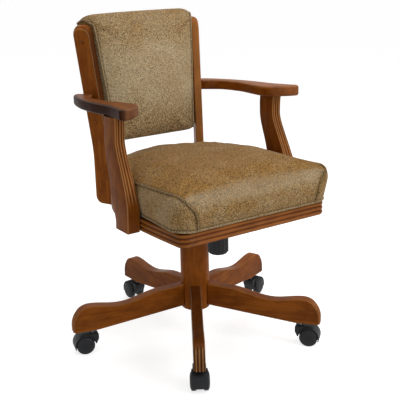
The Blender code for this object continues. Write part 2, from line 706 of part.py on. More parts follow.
def tension_spring_mesh(cup_floor):
    """Open helix from the knob's cup to the underside of the tilt housing, its ends laid flat."""
    low = cup_floor + GAP + SPRING_WIRE / 2
    high = HOUSING_BOTTOM - GAP - SPRING_WIRE / 2
    flat_turns = 0.5
    turns = SPRING_TURNS + 2 * flat_turns
    lead = (high - low) / SPRING_TURNS
    points = []
    count = int(turns * SPRING_POINTS_PER_TURN)
    for i in range(count + 1):
        turn = turns * i / count
        climb = min(max(turn - flat_turns, 0.0), SPRING_TURNS)
        angle = 2 * math.pi * turn
        points.append(Vector((SPRING_RADIUS * math.cos(angle), BOLT_Y + SPRING_RADIUS * math.sin(angle),
                              low + lead * climb)))
    half_turn = SPRING_POINTS_PER_TURN // 2
    least = min((a - b).length for i, a in enumerate(points) for b in points[i + half_turn:])
    print(f"tension spring: least gap between turns {(least - SPRING_WIRE) * 1000:.2f} mm")
    rings = []
    sides = 6
    for i, point in enumerate(points):
        ahead = points[min(i + 1, count)] - points[max(i - 1, 0)]
        ahead.normalize()
        out = Vector((point.x, point.y - BOLT_Y, 0.0)).normalized()
        up = ahead.cross(out).normalized()
        out = up.cross(ahead)
        ring = []
        for k in range(sides):
            angle = 2 * math.pi * k / sides
            ring.append(point + (out * math.cos(angle) + up * math.sin(angle)) * SPRING_WIRE / 2)
        rings.append(ring)
    return loft("tension_spring", rings)


def lift_lever_mesh():
    """Rod through the housing wall to the valve pin, with a flat finger paddle at its outer end."""
    rod_end = -LEVER_REACH + LEVER_PADDLE_LENGTH * 0.8
    rod = disc("rod", LEVER_RADIUS, rod_end, LEVER_INNER_REACH, 12)
    moved(rod, Matrix.Translation((0, 0, LEVER_Z)) @ Matrix.Rotation(math.pi / 2, 4, "Y"))
    half_wide = LEVER_PADDLE_WIDTH / 2
    half_thick = LEVER_RADIUS * 0.8
    paddle = block("paddle", (-LEVER_REACH, -half_wide, LEVER_Z - half_thick),
                   (-LEVER_REACH + LEVER_PADDLE_LENGTH, half_wide, LEVER_Z + half_thick))
    return combine(rod, paddle, "UNION")


# Seat plan
def fillet(before, corner, after, radius, steps):
    """Points of an arc that rounds a corner of an outline."""
    before, corner, after = Vector(before), Vector(corner), Vector(after)
    a = (before - corner).normalized()
    b = (after - corner).normalized()
    half_angle = a.angle(b) / 2
    reach = radius / math.tan(half_angle)
    centre = corner + (a + b).normalized() * (radius / math.sin(half_angle))
    start = corner + a * reach - centre
    end = corner + b * reach - centre
    sweep = start.angle_signed(end)
    out = []
    for i in range(steps + 1):
        out.append(centre + Matrix.Rotation(-sweep * i / steps, 2) @ start)
    return out


def seat_edge(front, front_half, half, widest, rear, corner, side_steps, rear_steps):
    """Right half of a seat outline from the front's middle to the rear's middle.

    The front is straight, its corner is rounded, the side swells to its widest and the rear is half
    an ellipse.
    """
    points = [Vector((0.0, front))]
    points += fillet((0.0, front), (front_half, front), (half, widest), corner, 5)
    start = points[-1]
    for i in range(1, side_steps + 1):
        t = i / side_steps
        points.append(Vector((start.x + (half - start.x) * math.sin(t * math.pi / 2),
                              start.y + (widest - start.y) * t)))
    for i in range(1, rear_steps + 1):
        angle = math.pi / 2 * i / rear_steps
        points.append(Vector((half * math.cos(angle), widest + (rear - widest) * math.sin(angle))))
    return points


def outward_normals(points):
    normals = []
    for i in range(len(points)):
        along = points[min(i + 1, len(points) - 1)] - points[max(i - 1, 0)]
        normals.append(Vector((along.y, -along.x)).normalized())
    normals[0] = Vector((0.0, -1.0))
    normals[-1] = Vector((0.0, 1.0))
    return normals


def whole_outline(half_points):
    """Close a right half into a whole outline, anticlockwise from the front's middle."""
    mirrored = [Vector((-p.x, p.y)) for p in reversed(half_points[1:-1])]
    return half_points + mirrored


def rail_edge():
    return seat_edge(SEAT_FRONT, SEAT_FRONT_HALF_WIDTH, SEAT_HALF_WIDTH, SEAT_WIDEST_Y, SEAT_REAR,
                     SEAT_CORNER_RADIUS, 5, 12)


def rail_section():
    """Outward offset and height of the moulded rail, with beads on its face."""
    section = [(-RAIL_THICKNESS, RAIL_BOTTOM)]
    bead = RAIL_HEIGHT / RAIL_BEADS
    steps = 3
    for number in range(RAIL_BEADS):
        for i in range(steps):
            t = i / steps
            section.append((BEAD_BULGE * math.sin(math.pi * t), RAIL_BOTTOM + bead * (number + t)))
    section += [(0.0, RAIL_TOP), (-RAIL_THICKNESS, RAIL_TOP)]
    return section


def rail_mesh(name, points, normals):
    section = rail_section()
    rings = []
    for point, normal in zip(points, normals):
        rings.append([(point.x + normal.x * o, point.y + normal.y * o, z) for o, z in section])
    return loft(name, rings)


def seat_frame(tilt):
    edge = rail_edge()
    normals = outward_normals(edge)
    look = wood("seat rail stained hardwood")
    front_x = FRONT_JOINT_X - GAP / 2
    front = [Vector((-front_x, SEAT_FRONT)), Vector((front_x, SEAT_FRONT))]
    piece("seat_rail_front", rail_mesh("front", front, [Vector((0.0, -1.0))] * 2), look, tilt)

    angle = math.acos(REAR_JOINT_X / SEAT_HALF_WIDTH)
    depth = SEAT_REAR - SEAT_WIDEST_Y
    joint = Vector((REAR_JOINT_X, SEAT_WIDEST_Y + depth * math.sin(angle)))
    joint_normal = Vector((joint.x / SEAT_HALF_WIDTH ** 2, (joint.y - SEAT_WIDEST_Y) / depth ** 2))
    joint_normal.normalize()
    back_step = Vector((-joint_normal.y, joint_normal.x)) * GAP / 2
    side_points = [Vector((FRONT_JOINT_X + GAP / 2, SEAT_FRONT))]
    side_normals = [Vector((0.0, -1.0))]
    rear_points = [joint + back_step]
    rear_normals = [joint_normal]
    for point, normal in zip(edge[1:], normals[1:]):
        if point.y < joint.y - 2 * GAP:
            side_points.append(point)
            side_normals.append(normal)
        elif point.y > joint.y + 2 * GAP:
            rear_points.append(point)
            rear_normals.append(normal)
    side_points.append(joint - back_step)
    side_normals.append(joint_normal)
    for word, side in (("right", -1), ("left", 1)):
        mesh = rail_mesh("side", [Vector((side * p.x, p.y)) for p in side_points],
                         [Vector((side * n.x, n.y)) for n in side_normals])
        piece(f"seat_rail_{word}", mesh, look, tilt)
    rear_points += [Vector((-p.x, p.y)) for p in reversed(rear_points[:-1])]
    rear_normals += [Vector((-n.x, n.y)) for n in reversed(rear_normals[:-1])]
    piece("seat_rail_rear", rail_mesh("rear", rear_points, rear_normals), look, tilt)

    inset = RAIL_THICKNESS + GAP
    inner = whole_outline([p - n * inset for p, n in zip(edge, normals)])
    board = loft("board", [[(p.x, p.y, z) for p in inner] for z in (BOARD_BOTTOM, RAIL_TOP)])
    piece("seat_board", board, ply("seat board plywood"), tilt)


def rear_drop(y):
    """Fall of the cushion's top from its widest place to the rear."""
    share = (y - SEAT_WIDEST_Y) / (SEAT_REAR - SEAT_WIDEST_Y)
    return CUSHION_REAR_DROP * ease(min(max(share, 0.0), 1.0))


def seat_cushion(tilt):
    """Crowned seat cushion: sides drawn in at the welts, swelling between them."""
    edge = seat_edge(CUSHION_FRONT, CUSHION_FRONT_HALF_WIDTH, CUSHION_HALF_WIDTH, SEAT_WIDEST_Y,
                     SEAT_REAR - CUSHION_REAR_INSET, CUSHION_CORNER_RADIUS, 5, 12)
    normals = outward_normals(edge)
    side = CUSHION_SIDE_HEIGHT
    levels = [(-0.010, 0.0), (-0.001, 0.12), (CUSHION_BULGE, 0.45), (CUSHION_BULGE * 0.6, 0.75),
              (-0.006, 1.0)]
    rings = []
    outline = whole_outline(edge)
    for offset, share in levels:
        ring = []
        for p, n in zip(outline, whole_normals(normals)):
            y = p.y + n.y * offset
            ring.append((p.x + n.x * offset, y, CUSHION_BOTTOM + (side - rear_drop(y)) * share))
        rings.append(ring)
    centre = Vector((0.0, (CUSHION_FRONT + SEAT_REAR) / 2))
    for shrink, rise in ((0.90, 0.45), (0.72, 0.80), (0.40, 0.97), (0.12, 1.0)):
        ring = []
        for p in outline:
            x, y = centre + (p - centre) * shrink
            ring.append((x, y, CUSHION_BOTTOM + side - rear_drop(y) + CUSHION_CROWN * rise))
        rings.append(ring)
    piece("seat_cushion", loft("cushion", rings), fabric("seat cushion chenille"), tilt, smooth_angle=60)


def whole_normals(half_normals):
    return half_normals + [Vector((-n.x, n.y)) for n in reversed(half_normals[1:-1])]


# Arms and arm posts
def arm_top(y):
    return ARM_FRONT_TOP + (ARM_REAR_TOP - ARM_FRONT_TOP) * (y - ARM_FRONT_Y) / (ARM_REAR_Y - ARM_FRONT_Y)


def post_face(z):
    """Outer and inner sideways place of a post at a height."""
    foot_inner = SEAT_HALF_WIDTH + BEAD_BULGE + GAP
    share = (z - RAIL_BOTTOM) / (ARM_FRONT_TOP - ARM_THICKNESS - RAIL_BOTTOM)
    slimming = ease(min(max((share - 0.15) / 0.45, 0.0), 1.0))
    leaning = ease(min(max((share - 0.50) / 0.40, 0.0), 1.0))
    inner = foot_inner - POST_INNER_LEAN * leaning
    return inner + POST_THICKNESS + (POST_TOP_THICKNESS - POST_THICKNESS) * slimming, inner


def post_edges():
    """Front and rear edge of the scroll-sawn post, from foot to arm."""
    foot_rear = POST_FOOT_FRONT + POST_FOOT_DEPTH
    top = ARM_FRONT_TOP - ARM_THICKNESS
    rise = top - RAIL_BOTTOM
    foot = POST_FOOT_FRONT
    front = [(foot, 0.0), (foot - POST_SWEEP * 0.03, 0.25), (foot + POST_SWEEP * 0.355, 0.46),
             (foot + POST_SWEEP * 0.95, 0.73), (foot + POST_SWEEP, 0.87), (foot + POST_SWEEP * 0.935, 1.0)]
    rear = [(foot_rear, 0.0), (foot_rear, 0.10), (foot_rear + POST_SWEEP * 0.275, 0.26),
            (foot_rear + POST_SWEEP * 0.55, 0.46), (foot_rear + POST_SWEEP * 0.90, 0.70),
            (foot_rear + POST_SWEEP * 0.935, 0.86), (foot_rear + POST_SWEEP * 0.89, 1.0)]
    front_curve = smooth_points([(y, RAIL_BOTTOM + rise * s) for y, s in front], 3)
    rear_curve = smooth_points([(y, RAIL_BOTTOM + rise * s) for y, s in rear], 3)
    return front_curve, rear_curve


def edge_at(curve, z):
    """Depthwise place of an edge at a height."""
    for low, high in zip(curve, curve[1:]):
        if z < high.y:
            return low.x + (high.x - low.x) * max(z - low.y, 0.0) / (high.y - low.y)
    return curve[-1].x


def arm_post_mesh(side):
    front, rear = post_edges()
    top = ARM_FRONT_TOP - ARM_THICKNESS
    levels = 15
    rings = []
    for i in range(levels + 1):
        z = RAIL_BOTTOM + (top - RAIL_BOTTOM) * i / levels
        outer, inner = post_face(z)
        ring = []
        for x, y in ((inner, edge_at(front, z)), (outer, edge_at(front, z)), (outer, edge_at(rear, z)),
                     (inner, edge_at(rear, z))):
            height = arm_top(y) - ARM_THICKNESS - GAP if i == levels else z
            ring.append((side * x, y, height))
        rings.append(ring)
    return loft("post", rings)


def arm_outline():
    """Plan of a left arm, anticlockwise from its front outer corner: a broad paddle, a slim waist and
    a flat against the stile at the rear."""
    contact = STILE_OUTER_OFFSET + GAP
    touch = arm_top(ARM_REAR_Y) - ARM_THICKNESS
    front_reach = stile_reach(touch)
    flat_start = stile_point(1, front_reach + STILE_DEPTH * 0.45, contact)
    flat_end = stile_point(1, front_reach + STILE_DEPTH * 0.95, contact)
    outer_x = SEAT_HALF_WIDTH + POST_THICKNESS
    wide = ARM_HAND_WIDTH
    long = ARM_REAR_Y - ARM_FRONT_Y
    outer = [(0.096, 0.040), (-0.014, 0.124), (-0.116, 0.258), (-0.116, 0.422), (-0.130, 0.529),
             (-0.253, 0.725), (-0.562, 0.931)]
    end = [(-0.753, 0.988), (-0.918, 1.0)]
    inner = [(-0.767, 0.742), (-0.705, 0.581), (-0.740, 0.481), (-0.904, 0.333), (-1.0, 0.221),
             (-0.993, 0.164), (-0.822, 0.104), (-0.452, 0.035), (-0.055, 0.0)]
    outer = [(outer_x + wide * u, ARM_FRONT_Y + long * v) for u, v in outer]
    end = [(outer_x + wide * u, ARM_FRONT_Y + long * v) for u, v in end]
    inner = [(outer_x + wide * u, ARM_FRONT_Y + long * v) for u, v in inner]
    inner.insert(0, (flat_start.x + wide * 0.247, flat_start.y - long * 0.0645))
    points = smooth_points(outer + end, 2)
    points += [flat_end.to_2d(), flat_start.to_2d()]
    points += smooth_points(inner, 2)
    return points


def arm_mesh(side):
    outline = arm_outline()
    count = len(outline)
    rings = []
    levels = ((0.0, 0.003), (0.10, 0.0), (1.0 - ARM_EDGE / ARM_THICKNESS, 0.0), (1.0, ARM_EDGE))
    contact_line = stile_point(1, 0.0, STILE_OUTER_OFFSET + GAP).to_2d()
    across = Vector((math.cos(STILE_TURN), -math.sin(STILE_TURN)))
    for share, inset in levels:
        ring = []
        for i, point in enumerate(outline):
            along = outline[(i + 1) % count] - outline[i - 1]
            normal = Vector((along.y, -along.x)).normalized()
            place = point - normal * inset
            on_flat = abs((point - contact_line).dot(across)) < GAP
            if on_flat:
                place = point
            z = arm_top(place.y) - ARM_THICKNESS * (1 - share)
            ring.append((side * place.x, place.y, z))
        rings.append(ring)
    return loft("arm", rings)


def arms(tilt):
    for word, side in (("right", -1), ("left", 1)):
        piece(f"arm_post_{word}", arm_post_mesh(side), wood(f"{word} arm post stained hardwood"), tilt)
        piece(f"arm_{word}", arm_mesh(side), wood(f"{word} arm stained hardwood"), tilt)


# Back stiles: flat boards set on the slant behind the seat, raked above it
def stile_point(side, reach, offset, z=0.0):
    """World place of a point given along and across a stile's board."""
    x = offset * math.cos(STILE_TURN) + reach * math.sin(STILE_TURN)
    y = -offset * math.sin(STILE_TURN) + reach * math.cos(STILE_TURN)
    return Vector((side * x, y, z))


def stile_reach(z):
    """Reach of a stile's front edge at a height."""
    return STILE_FRONT_REACH + STILE_RAKE * max(z - STILE_BEND_Z, 0.0)


def rim_reach(offset):
    """Reach at which a stile's front edge meets the seat rail, found by halving."""
    clear = BEAD_BULGE + GAP
    low, high = 0.10, 0.40
    for _ in range(40):
        middle = (low + high) / 2
        point = stile_point(1, middle, offset)
        wide = SEAT_HALF_WIDTH + clear
        deep = SEAT_REAR - SEAT_WIDEST_Y + clear
        inside = (point.x / wide) ** 2 + ((point.y - SEAT_WIDEST_Y) / deep) ** 2 < 1.0
        low, high = (middle, high) if inside else (low, middle)
    return high


def stile_outline(offset):
    """Side outline of a stile at one face: the foot meets the rail, both ends are rounded."""
    foot_front = rim_reach(offset)
    radius = STILE_END_RADIUS
    points = []
    rear = STILE_FRONT_REACH + STILE_DEPTH
    ledge = RAIL_TOP + STILE_END_RADIUS
    for i in range(5):
        angle = math.pi / 2 * i / 4
        points.append((rear - radius + radius * math.sin(angle),
                       STILE_BOTTOM + radius - radius * math.cos(angle)))
    points.append((rear, STILE_BEND_Z))
    top_rear = stile_reach(STILE_TOP) + STILE_DEPTH
    for i in range(5):
        angle = math.pi / 2 * i / 4
        lean = STILE_RAKE * radius * (1 - math.sin(angle))
        points.append((top_rear - radius + radius * math.cos(angle) - lean,
                       STILE_TOP - radius + radius * math.sin(angle)))
    top_front = stile_reach(STILE_TOP)
    for i in range(5):
        angle = math.pi / 2 * i / 4
        lean = STILE_RAKE * radius * (1 - math.cos(angle))
        points.append((top_front + radius - radius * math.sin(angle) - lean,
                       STILE_TOP - radius + radius * math.cos(angle)))
    points.append((STILE_FRONT_REACH, STILE_BEND_Z))
    points.append((max(STILE_FRONT_REACH, foot_front), ledge))
    points.append((foot_front, RAIL_TOP))
    points.append((foot_front, STILE_BOTTOM + radius * 0.3))
    points.append((foot_front + radius * 0.3, STILE_BOTTOM))
    return points


def stiles(tilt):
    inner = STILE_OUTER_OFFSET - STILE_THICKNESS
    for word, side in (("right", -1), ("left", 1)):
        rings = []
        for offset in (inner, STILE_OUTER_OFFSET):
            rings.append([stile_point(side, reach, offset, z) for reach, z in stile_outline(offset)])
        piece(f"back_stile_{word}", loft("stile", rings), wood(f"{word} stile stained hardwood"), tilt)
        for place, z in zip(("lower", "upper"), PLUG_HEIGHTS):
            dome = [(0.0, 0.0), (PLUG_RADIUS, 0.0), (PLUG_RADIUS, PLUG_DOME / 3),
                    (PLUG_RADIUS * 0.7, PLUG_DOME * 0.8), (0.0, PLUG_DOME)]
            plug = turned("plug", dome, 14)
            outward = Vector((side * math.cos(STILE_TURN), -math.sin(STILE_TURN), 0.0))
            seat = stile_point(side, stile_reach(z) + STILE_DEPTH / 2, STILE_OUTER_OFFSET + GAP, z)
            moved(plug, Matrix.Translation(seat) @ outward.to_track_quat("Z", "Y").to_matrix().to_4x4())
            piece(f"stile_plug_{word}_{place}", plug, wood(f"{word} {place} plug stained hardwood"), tilt)


# Back: a board between the stiles, a crowned cushion in front and a padded panel behind
def between_stiles(y):
    """Half the clear width between the stiles' inner faces."""
    inner = STILE_OUTER_OFFSET - STILE_THICKNESS
    return (inner + y * math.sin(STILE_TURN)) / math.cos(STILE_TURN) - GAP / math.cos(STILE_TURN)


def back_front(z):
    """Depthwise place of the stiles' inner front edges at a height."""
    return stile_point(1, stile_reach(z), STILE_OUTER_OFFSET - STILE_THICKNESS).y


def back_slab(name, near, far, low, high):
    """A raked panel between the stiles; near and far are set back from the stiles' front edges."""
    rings = []
    for z in (low, high):
        ring = []
        for sign, set_back in ((-1, near), (1, near), (1, far), (-1, far)):
            y = back_front(z) + set_back
            ring.append((sign * between_stiles(y), y, z))
        rings.append(ring)
    return loft(name, rings)


def back_cushion_mesh():
    """Cushion that fills the front of the back and rolls over the top of the board."""
    board_near = BACK_BOARD_SET - GAP
    roll = BACK_TOP - BACK_ROLL_HEIGHT
    depth = STILE_DEPTH * math.cos(STILE_TURN)
    rear = depth + BACK_ROLL_REACH
    height = BACK_TOP - BACK_BOTTOM
    profile = [(board_near, BACK_BOTTOM + 0.012), (-0.002, BACK_BOTTOM + 0.001),
               (-BACK_FORWARD * 0.7, BACK_BOTTOM + 0.008), (-BACK_FORWARD, BACK_BOTTOM + 0.030),
               (-BACK_FORWARD, BACK_BOTTOM + height * 0.3), (-BACK_FORWARD, BACK_BOTTOM + height * 0.6),
               (-BACK_FORWARD, BACK_TOP - 0.050), (-BACK_FORWARD * 0.8, BACK_TOP - 0.022),
               (-BACK_FORWARD * 0.2, BACK_TOP - 0.006), (0.016, BACK_TOP), (rear * 0.7, BACK_TOP - 0.002),
               (rear - 0.006, BACK_TOP - 0.010),
               (rear, BACK_TOP - 0.022), (rear - 0.003, roll), (board_near, roll)]
    stations = ((-1.0, 0.008), (-0.95, 0.002), (-0.7, 0.0), (-0.35, 0.0), (0.0, 0.0),
                (0.35, 0.0), (0.7, 0.0), (0.95, 0.002), (1.0, 0.008))
    middle = BACK_BOTTOM + height / 2
    rings = []
    for share, drawn_in in stations:
        ring = []
        for set_back, z in profile:
            height_share = (z - middle) / (height / 2)
            crown = BACK_CROWN * (1 - share ** 2) * max(1 - height_share ** 2, 0.0) if set_back < 0 else 0.0
            y = back_front(z) + set_back - crown
            if set_back < 0:
                y += drawn_in
            if z > roll + GAP:
                z -= drawn_in * 0.5
            tuck = BACK_FOOT_TUCK * (BACK_TOP - z) / height if set_back < 0 else 0.0
            ring.append((share * (between_stiles(max(y, back_front(z) - BACK_FORWARD)) - tuck), y, z))
        rings.append(ring)
    return loft("back_cushion", rings)


def back(tilt):
    roll = BACK_TOP - BACK_ROLL_HEIGHT
    board_far = BACK_BOARD_SET + BACK_BOARD_THICKNESS
    low = BACK_BOTTOM + BACK_BOARD_MARGIN
    high = roll - GAP
    board = back_slab("back_board", BACK_BOARD_SET, board_far, low, high)
    piece("back_board", board, ply("back board plywood"), tilt)
    depth = STILE_DEPTH * math.cos(STILE_TURN)
    panel = back_slab("back_panel", board_far + GAP, depth - BACK_PANEL_SET, low, high)
    piece("back_panel", panel, fabric("back panel chenille"), tilt)
    piece("back_cushion", back_cushion_mesh(), fabric("back cushion chenille"), tilt, smooth_angle=60)


# The chair, put together from the floor up
swivel_axis = axis_empty("swivel_axis", Vector((0.0, 0.0, COLUMN_BOTTOM)))
carriage_axis = axis_empty("lift_axis", Vector((0.0, 0.0, SOCKET_BOTTOM)))
tilt_axis = axis_empty("tilt_axis", Vector((0.0, TILT_PIN_Y, TILT_PIN_Z)))
lever_pivot = axis_empty("lever_axis", Vector((-LEVER_PIVOT, 0.0, LEVER_Z)))
knob_pivot = axis_empty("knob_axis", Vector((0.0, BOLT_Y, 0.0)))
casters()
base()
gas_lift(swivel_axis, carriage_axis)
tilt_mechanism(carriage_axis, tilt_axis, knob_pivot, lever_pivot)
seat_frame(tilt_axis)
seat_cushion(tilt_axis)
arms(tilt_axis)
stiles(tilt_axis)
back(tilt_axis)
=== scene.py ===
"""Looks of a wood-framed swivel arm chair: stained hardwood, speckled chenille and black nylon."""
import json
import math

import bmesh
import bpy
import numpy as np
from mathutils import Matrix, Vector
from mathutils.bvhtree import BVHTree
from mathutils.kdtree import KDTree


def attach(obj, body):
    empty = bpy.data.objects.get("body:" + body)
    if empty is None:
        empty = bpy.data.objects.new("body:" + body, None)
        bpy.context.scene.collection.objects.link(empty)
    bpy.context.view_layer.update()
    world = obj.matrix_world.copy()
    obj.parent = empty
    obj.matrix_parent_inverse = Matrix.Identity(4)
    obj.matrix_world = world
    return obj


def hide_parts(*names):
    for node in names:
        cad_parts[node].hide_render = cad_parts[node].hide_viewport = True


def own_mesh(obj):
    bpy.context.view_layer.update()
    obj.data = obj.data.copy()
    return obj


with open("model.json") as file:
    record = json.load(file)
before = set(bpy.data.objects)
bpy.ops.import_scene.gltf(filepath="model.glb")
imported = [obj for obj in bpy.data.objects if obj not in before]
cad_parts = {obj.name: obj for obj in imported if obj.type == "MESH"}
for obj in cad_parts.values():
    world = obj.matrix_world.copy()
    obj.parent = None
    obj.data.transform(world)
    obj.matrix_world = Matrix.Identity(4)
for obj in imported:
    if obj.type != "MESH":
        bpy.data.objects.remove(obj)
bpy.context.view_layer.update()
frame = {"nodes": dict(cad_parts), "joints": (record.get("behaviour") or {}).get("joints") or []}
nodes = frame["nodes"]
joints = {joint["name"]: joint for joint in frame["joints"]}

# Casters: two nylon wheels turn on a steel axle under a moulded nylon hood, whose plated steel stem
# is pressed into the leg.  Moulding leaves the nylon a satin black skin with a faint grain.
LEG_COUNT = 5
GAP = 0.0003
WHEEL_RADIUS = 0.026
WHEEL_HALF = 0.00825
WHEEL_INNER = 0.00975
WHEEL_DOME_WIDTH = 0.006
WHEEL_DOME_RISE = 0.019
WHEEL_EDGE = 0.0025
WHEEL_GROOVE = 0.0008
WHEEL_GROOVE_STEPS = (9, 10)
WHEEL_HUB = 0.006
WHEEL_SINK = 0.0001
AXLE_HOLE = 0.0033
FENDER_INNER = 0.0278
FENDER_WALL = 0.003
FENDER_FRONT = -18.0
FENDER_REAR = 150.0
FENDER_HALF = 0.0215
FENDER_EDGE = (0.003, 0.0012)
NECK_REAR = 0.0155
NECK_ROUND = 0.004
NECK_HALF = 0.018
NECK_EDGE = (0.003, 0.0022)
NECK_SLOPE = (0.007, 0.014)
NECK_HEEL = (0.0004, 0.003)
WEB_CLEARANCE = 0.0012
WEB_REAR = 151.2
CASTER_TRAIL = 0.024
COLLAR_RADIUS = 0.0092
COLLAR_TOP = 0.0571
COLLAR_HEIGHT = 0.028
COLLAR_EDGE = 0.001
STEM_RADIUS = 0.0055
STEM_SHOW = 0.0085
STEM_SEAT = 0.004


def linear(code):
    """sRGB hex to the linear red, green, blue and alpha of a colour socket."""
    parts = [int(code[i:i + 2], 16) / 255 for i in (1, 3, 5)]
    return (*[c / 12.92 if c <= 0.04045 else ((c + 0.055) / 1.055) ** 2.4 for c in parts], 1.0)


def new_finish(name):
    """A material to fill with nodes: itself, its tree and its shader."""
    look = bpy.data.materials.new(name)
    look.use_nodes = True
    return look, look.node_tree, look.node_tree.nodes["Principled BSDF"]


def add(tree, kind, inputs=None, **settings):
    """Add a node: settings are its properties, inputs its sockets' values or what feeds them."""
    node = tree.nodes.new(kind)
    for key, value in settings.items():
        setattr(node, key, value)
    for key, value in (inputs or {}).items():
        if isinstance(value, bpy.types.NodeSocket):
            tree.links.new(value, node.inputs[key])
        else:
            node.inputs[key].default_value = value
    return node


def outward(mesh, smooth=40, merge=0.000001):
    """Merge doubles, turn the faces outwards and shade the mesh smooth between its sharp edges."""
    bm = bmesh.new()
    bm.from_mesh(mesh)
    bmesh.ops.remove_doubles(bm, verts=bm.verts, dist=merge)
    bmesh.ops.recalc_face_normals(bm, faces=bm.faces)
    bm.to_mesh(mesh)
    bm.free()
    mesh.shade_smooth()
    mesh.set_sharp_from_angle(angle=math.radians(smooth))
    return mesh


def arc(centre, radius, first, last, steps):
    """Points of a round in a plane, from one angle in degrees to another."""
    angles = [math.radians(first + (last - first) * i / steps) for i in range(steps + 1)]
    return [(centre[0] + radius * math.cos(a), centre[1] + radius * math.sin(a)) for a in angles]


def skin(rings, ends=True):
    """A mesh over rings of equal length, one after the other."""
    count = len(rings[0])
    faces = []
    for r in range(len(rings) - 1):
        for i in range(count):
            j = (i + 1) % count
            faces.append((r * count + i, r * count + j, (r + 1) * count + j, (r + 1) * count + i))
    if ends:
        faces.append(tuple(range(count)))
        faces.append(tuple(range((len(rings) - 1) * count, len(rings) * count)))
    mesh = bpy.data.meshes.new("skin")
    mesh.from_pydata([tuple(p) for ring in rings for p in ring], [], faces)
    return mesh


def turned(profile, segments):
    """A mesh turned about Z from (radius, height) points; one that leaves the axis closes on itself."""
    count = len(profile)
    spans = count if profile[0][0] > 0 else count - 1
    points = []
    faces = []
    for s in range(segments):
        angle = 2 * math.pi * s / segments
        points += [(r * math.cos(angle), r * math.sin(angle), h) for r, h in profile]
        t = (s + 1) % segments
        for i in range(spans):
            j = (i + 1) % count
            faces.append((s * count + i, s * count + j, t * count + j, t * count + i))
    mesh = bpy.data.meshes.new("turned")
    mesh.from_pydata(points, [], faces)
    return outward(mesh)


def joined(*meshes):
    """One mesh from several closed ones."""
    bm = bmesh.new()
    for mesh in meshes:
        bm.from_mesh(mesh)
    made = bpy.data.meshes.new("joined")
    bm.to_mesh(made)
    bm.free()
    return outward(made, merge=0.0)


def fit(name, mesh, look, body, slot, *solids):
    """Set a finished mesh into the chair as a piece of a body, in place of the solids it stands for."""
    mesh.name = name
    mesh.materials.clear()
    mesh.materials.append(look)
    made = bpy.data.objects.new(name, mesh)
    bpy.context.scene.collection.objects.link(made)
    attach(made, body)
    if solids:
        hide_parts(*solids)
    return made


def coat(look, *names):
    """Give solids that show as they are their finish."""
    for name in names:
        for material_slot in nodes[name].material_slots:
            material_slot.material = look


# Glass-filled nylon, moulded in a finely blasted tool: near black and satin, its gloss uneven over
# about 22 mm where the melt flowed.  The blasted grit is finer, and is drawn as coarse as it shows.
NYLON_FLOW = 0.0222
NYLON_GRIT = 0.0012
nylon, tree, shader = new_finish("moulded black nylon")
place = add(tree, "ShaderNodeTexCoord")
cloud = add(tree, "ShaderNodeTexNoise", {"Vector": place.outputs["Object"], "Scale": 1 / NYLON_FLOW,
                                         "Detail": 3.0})
grit = add(tree, "ShaderNodeTexNoise", {"Vector": place.outputs["Object"], "Scale": 1 / NYLON_GRIT})
tone = add(tree, "ShaderNodeMix", {"Factor": cloud.outputs["Fac"], "A": linear("#0b0c0e"),
                                   "B": linear("#15161a")}, data_type="RGBA")
gloss = add(tree, "ShaderNodeMapRange", {"Value": cloud.outputs["Fac"], "To Min": 0.42, "To Max": 0.6})
skin_bump = add(tree, "ShaderNodeBump", {"Height": grit.outputs["Fac"], "Strength": 0.25,
                                         "Distance": 0.0003})
tree.links.new(tone.outputs["Result"], shader.inputs["Base Color"])
tree.links.new(gloss.outputs["Result"], shader.inputs["Roughness"])
tree.links.new(skin_bump.outputs["Normal"], shader.inputs["Normal"])
shader.inputs["IOR"].default_value = 1.53
shader.inputs["Specular IOR Level"].default_value = 0.24

# Bright zinc-plated steel: a pale grey metal with a faint mottle in shade and polish.  The real
# mottle is finer than 2.6 mm, and is drawn as coarse as it needs to show.
ZINC_MOTTLE = 0.00263
plated_steel, tree, shader = new_finish("zinc-plated steel")
place = add(tree, "ShaderNodeTexCoord")
draw = add(tree, "ShaderNodeTexNoise", {"Vector": place.outputs["Object"], "Scale": 1 / ZINC_MOTTLE,
                                        "Detail": 4.0})
tone = add(tree, "ShaderNodeMix", {"Factor": draw.outputs["Fac"], "A": linear("#a9abad"),
                                   "B": linear("#cfd0d0")}, data_type="RGBA")
gloss = add(tree, "ShaderNodeMapRange", {"Value": draw.outputs["Fac"], "To Min": 0.2, "To Max": 0.4})
tree.links.new(tone.outputs["Result"], shader.inputs["Base Color"])
tree.links.new(gloss.outputs["Result"], shader.inputs["Roughness"])
shader.inputs["Metallic"].default_value = 1.0

wheel_axis = (CASTER_TRAIL, WHEEL_RADIUS)


def fender_outline(drop):
    """Side outline of the fender over the wheels, its outer face lowered by a drop."""
    outer = arc(wheel_axis, FENDER_INNER + FENDER_WALL - drop, FENDER_FRONT, FENDER_REAR, 42)
    return outer + arc(wheel_axis, FENDER_INNER, FENDER_REAR, FENDER_FRONT, 42)


def neck_outline(drop):
    """Side outline of the neck behind the wheels that carries the stem, drawn in by a drop."""
    inner = FENDER_INNER + FENDER_WALL * 0.25
    rear = drop - NECK_REAR
    top = WHEEL_RADIUS + FENDER_INNER + FENDER_WALL - drop
    slope_top = WHEEL_RADIUS + NECK_SLOPE[1]
    points = arc(wheel_axis, inner, 175, 95, 16) + [(CASTER_TRAIL - NECK_ROUND, top)]
    points += arc((rear + NECK_ROUND, top - NECK_ROUND), NECK_ROUND, 90, 180, 6)
    return points + [(rear, slope_top + NECK_HEEL[1]), (rear + NECK_HEEL[0], slope_top),
                     (rear + NECK_SLOPE[0], WHEEL_RADIUS + GAP)]


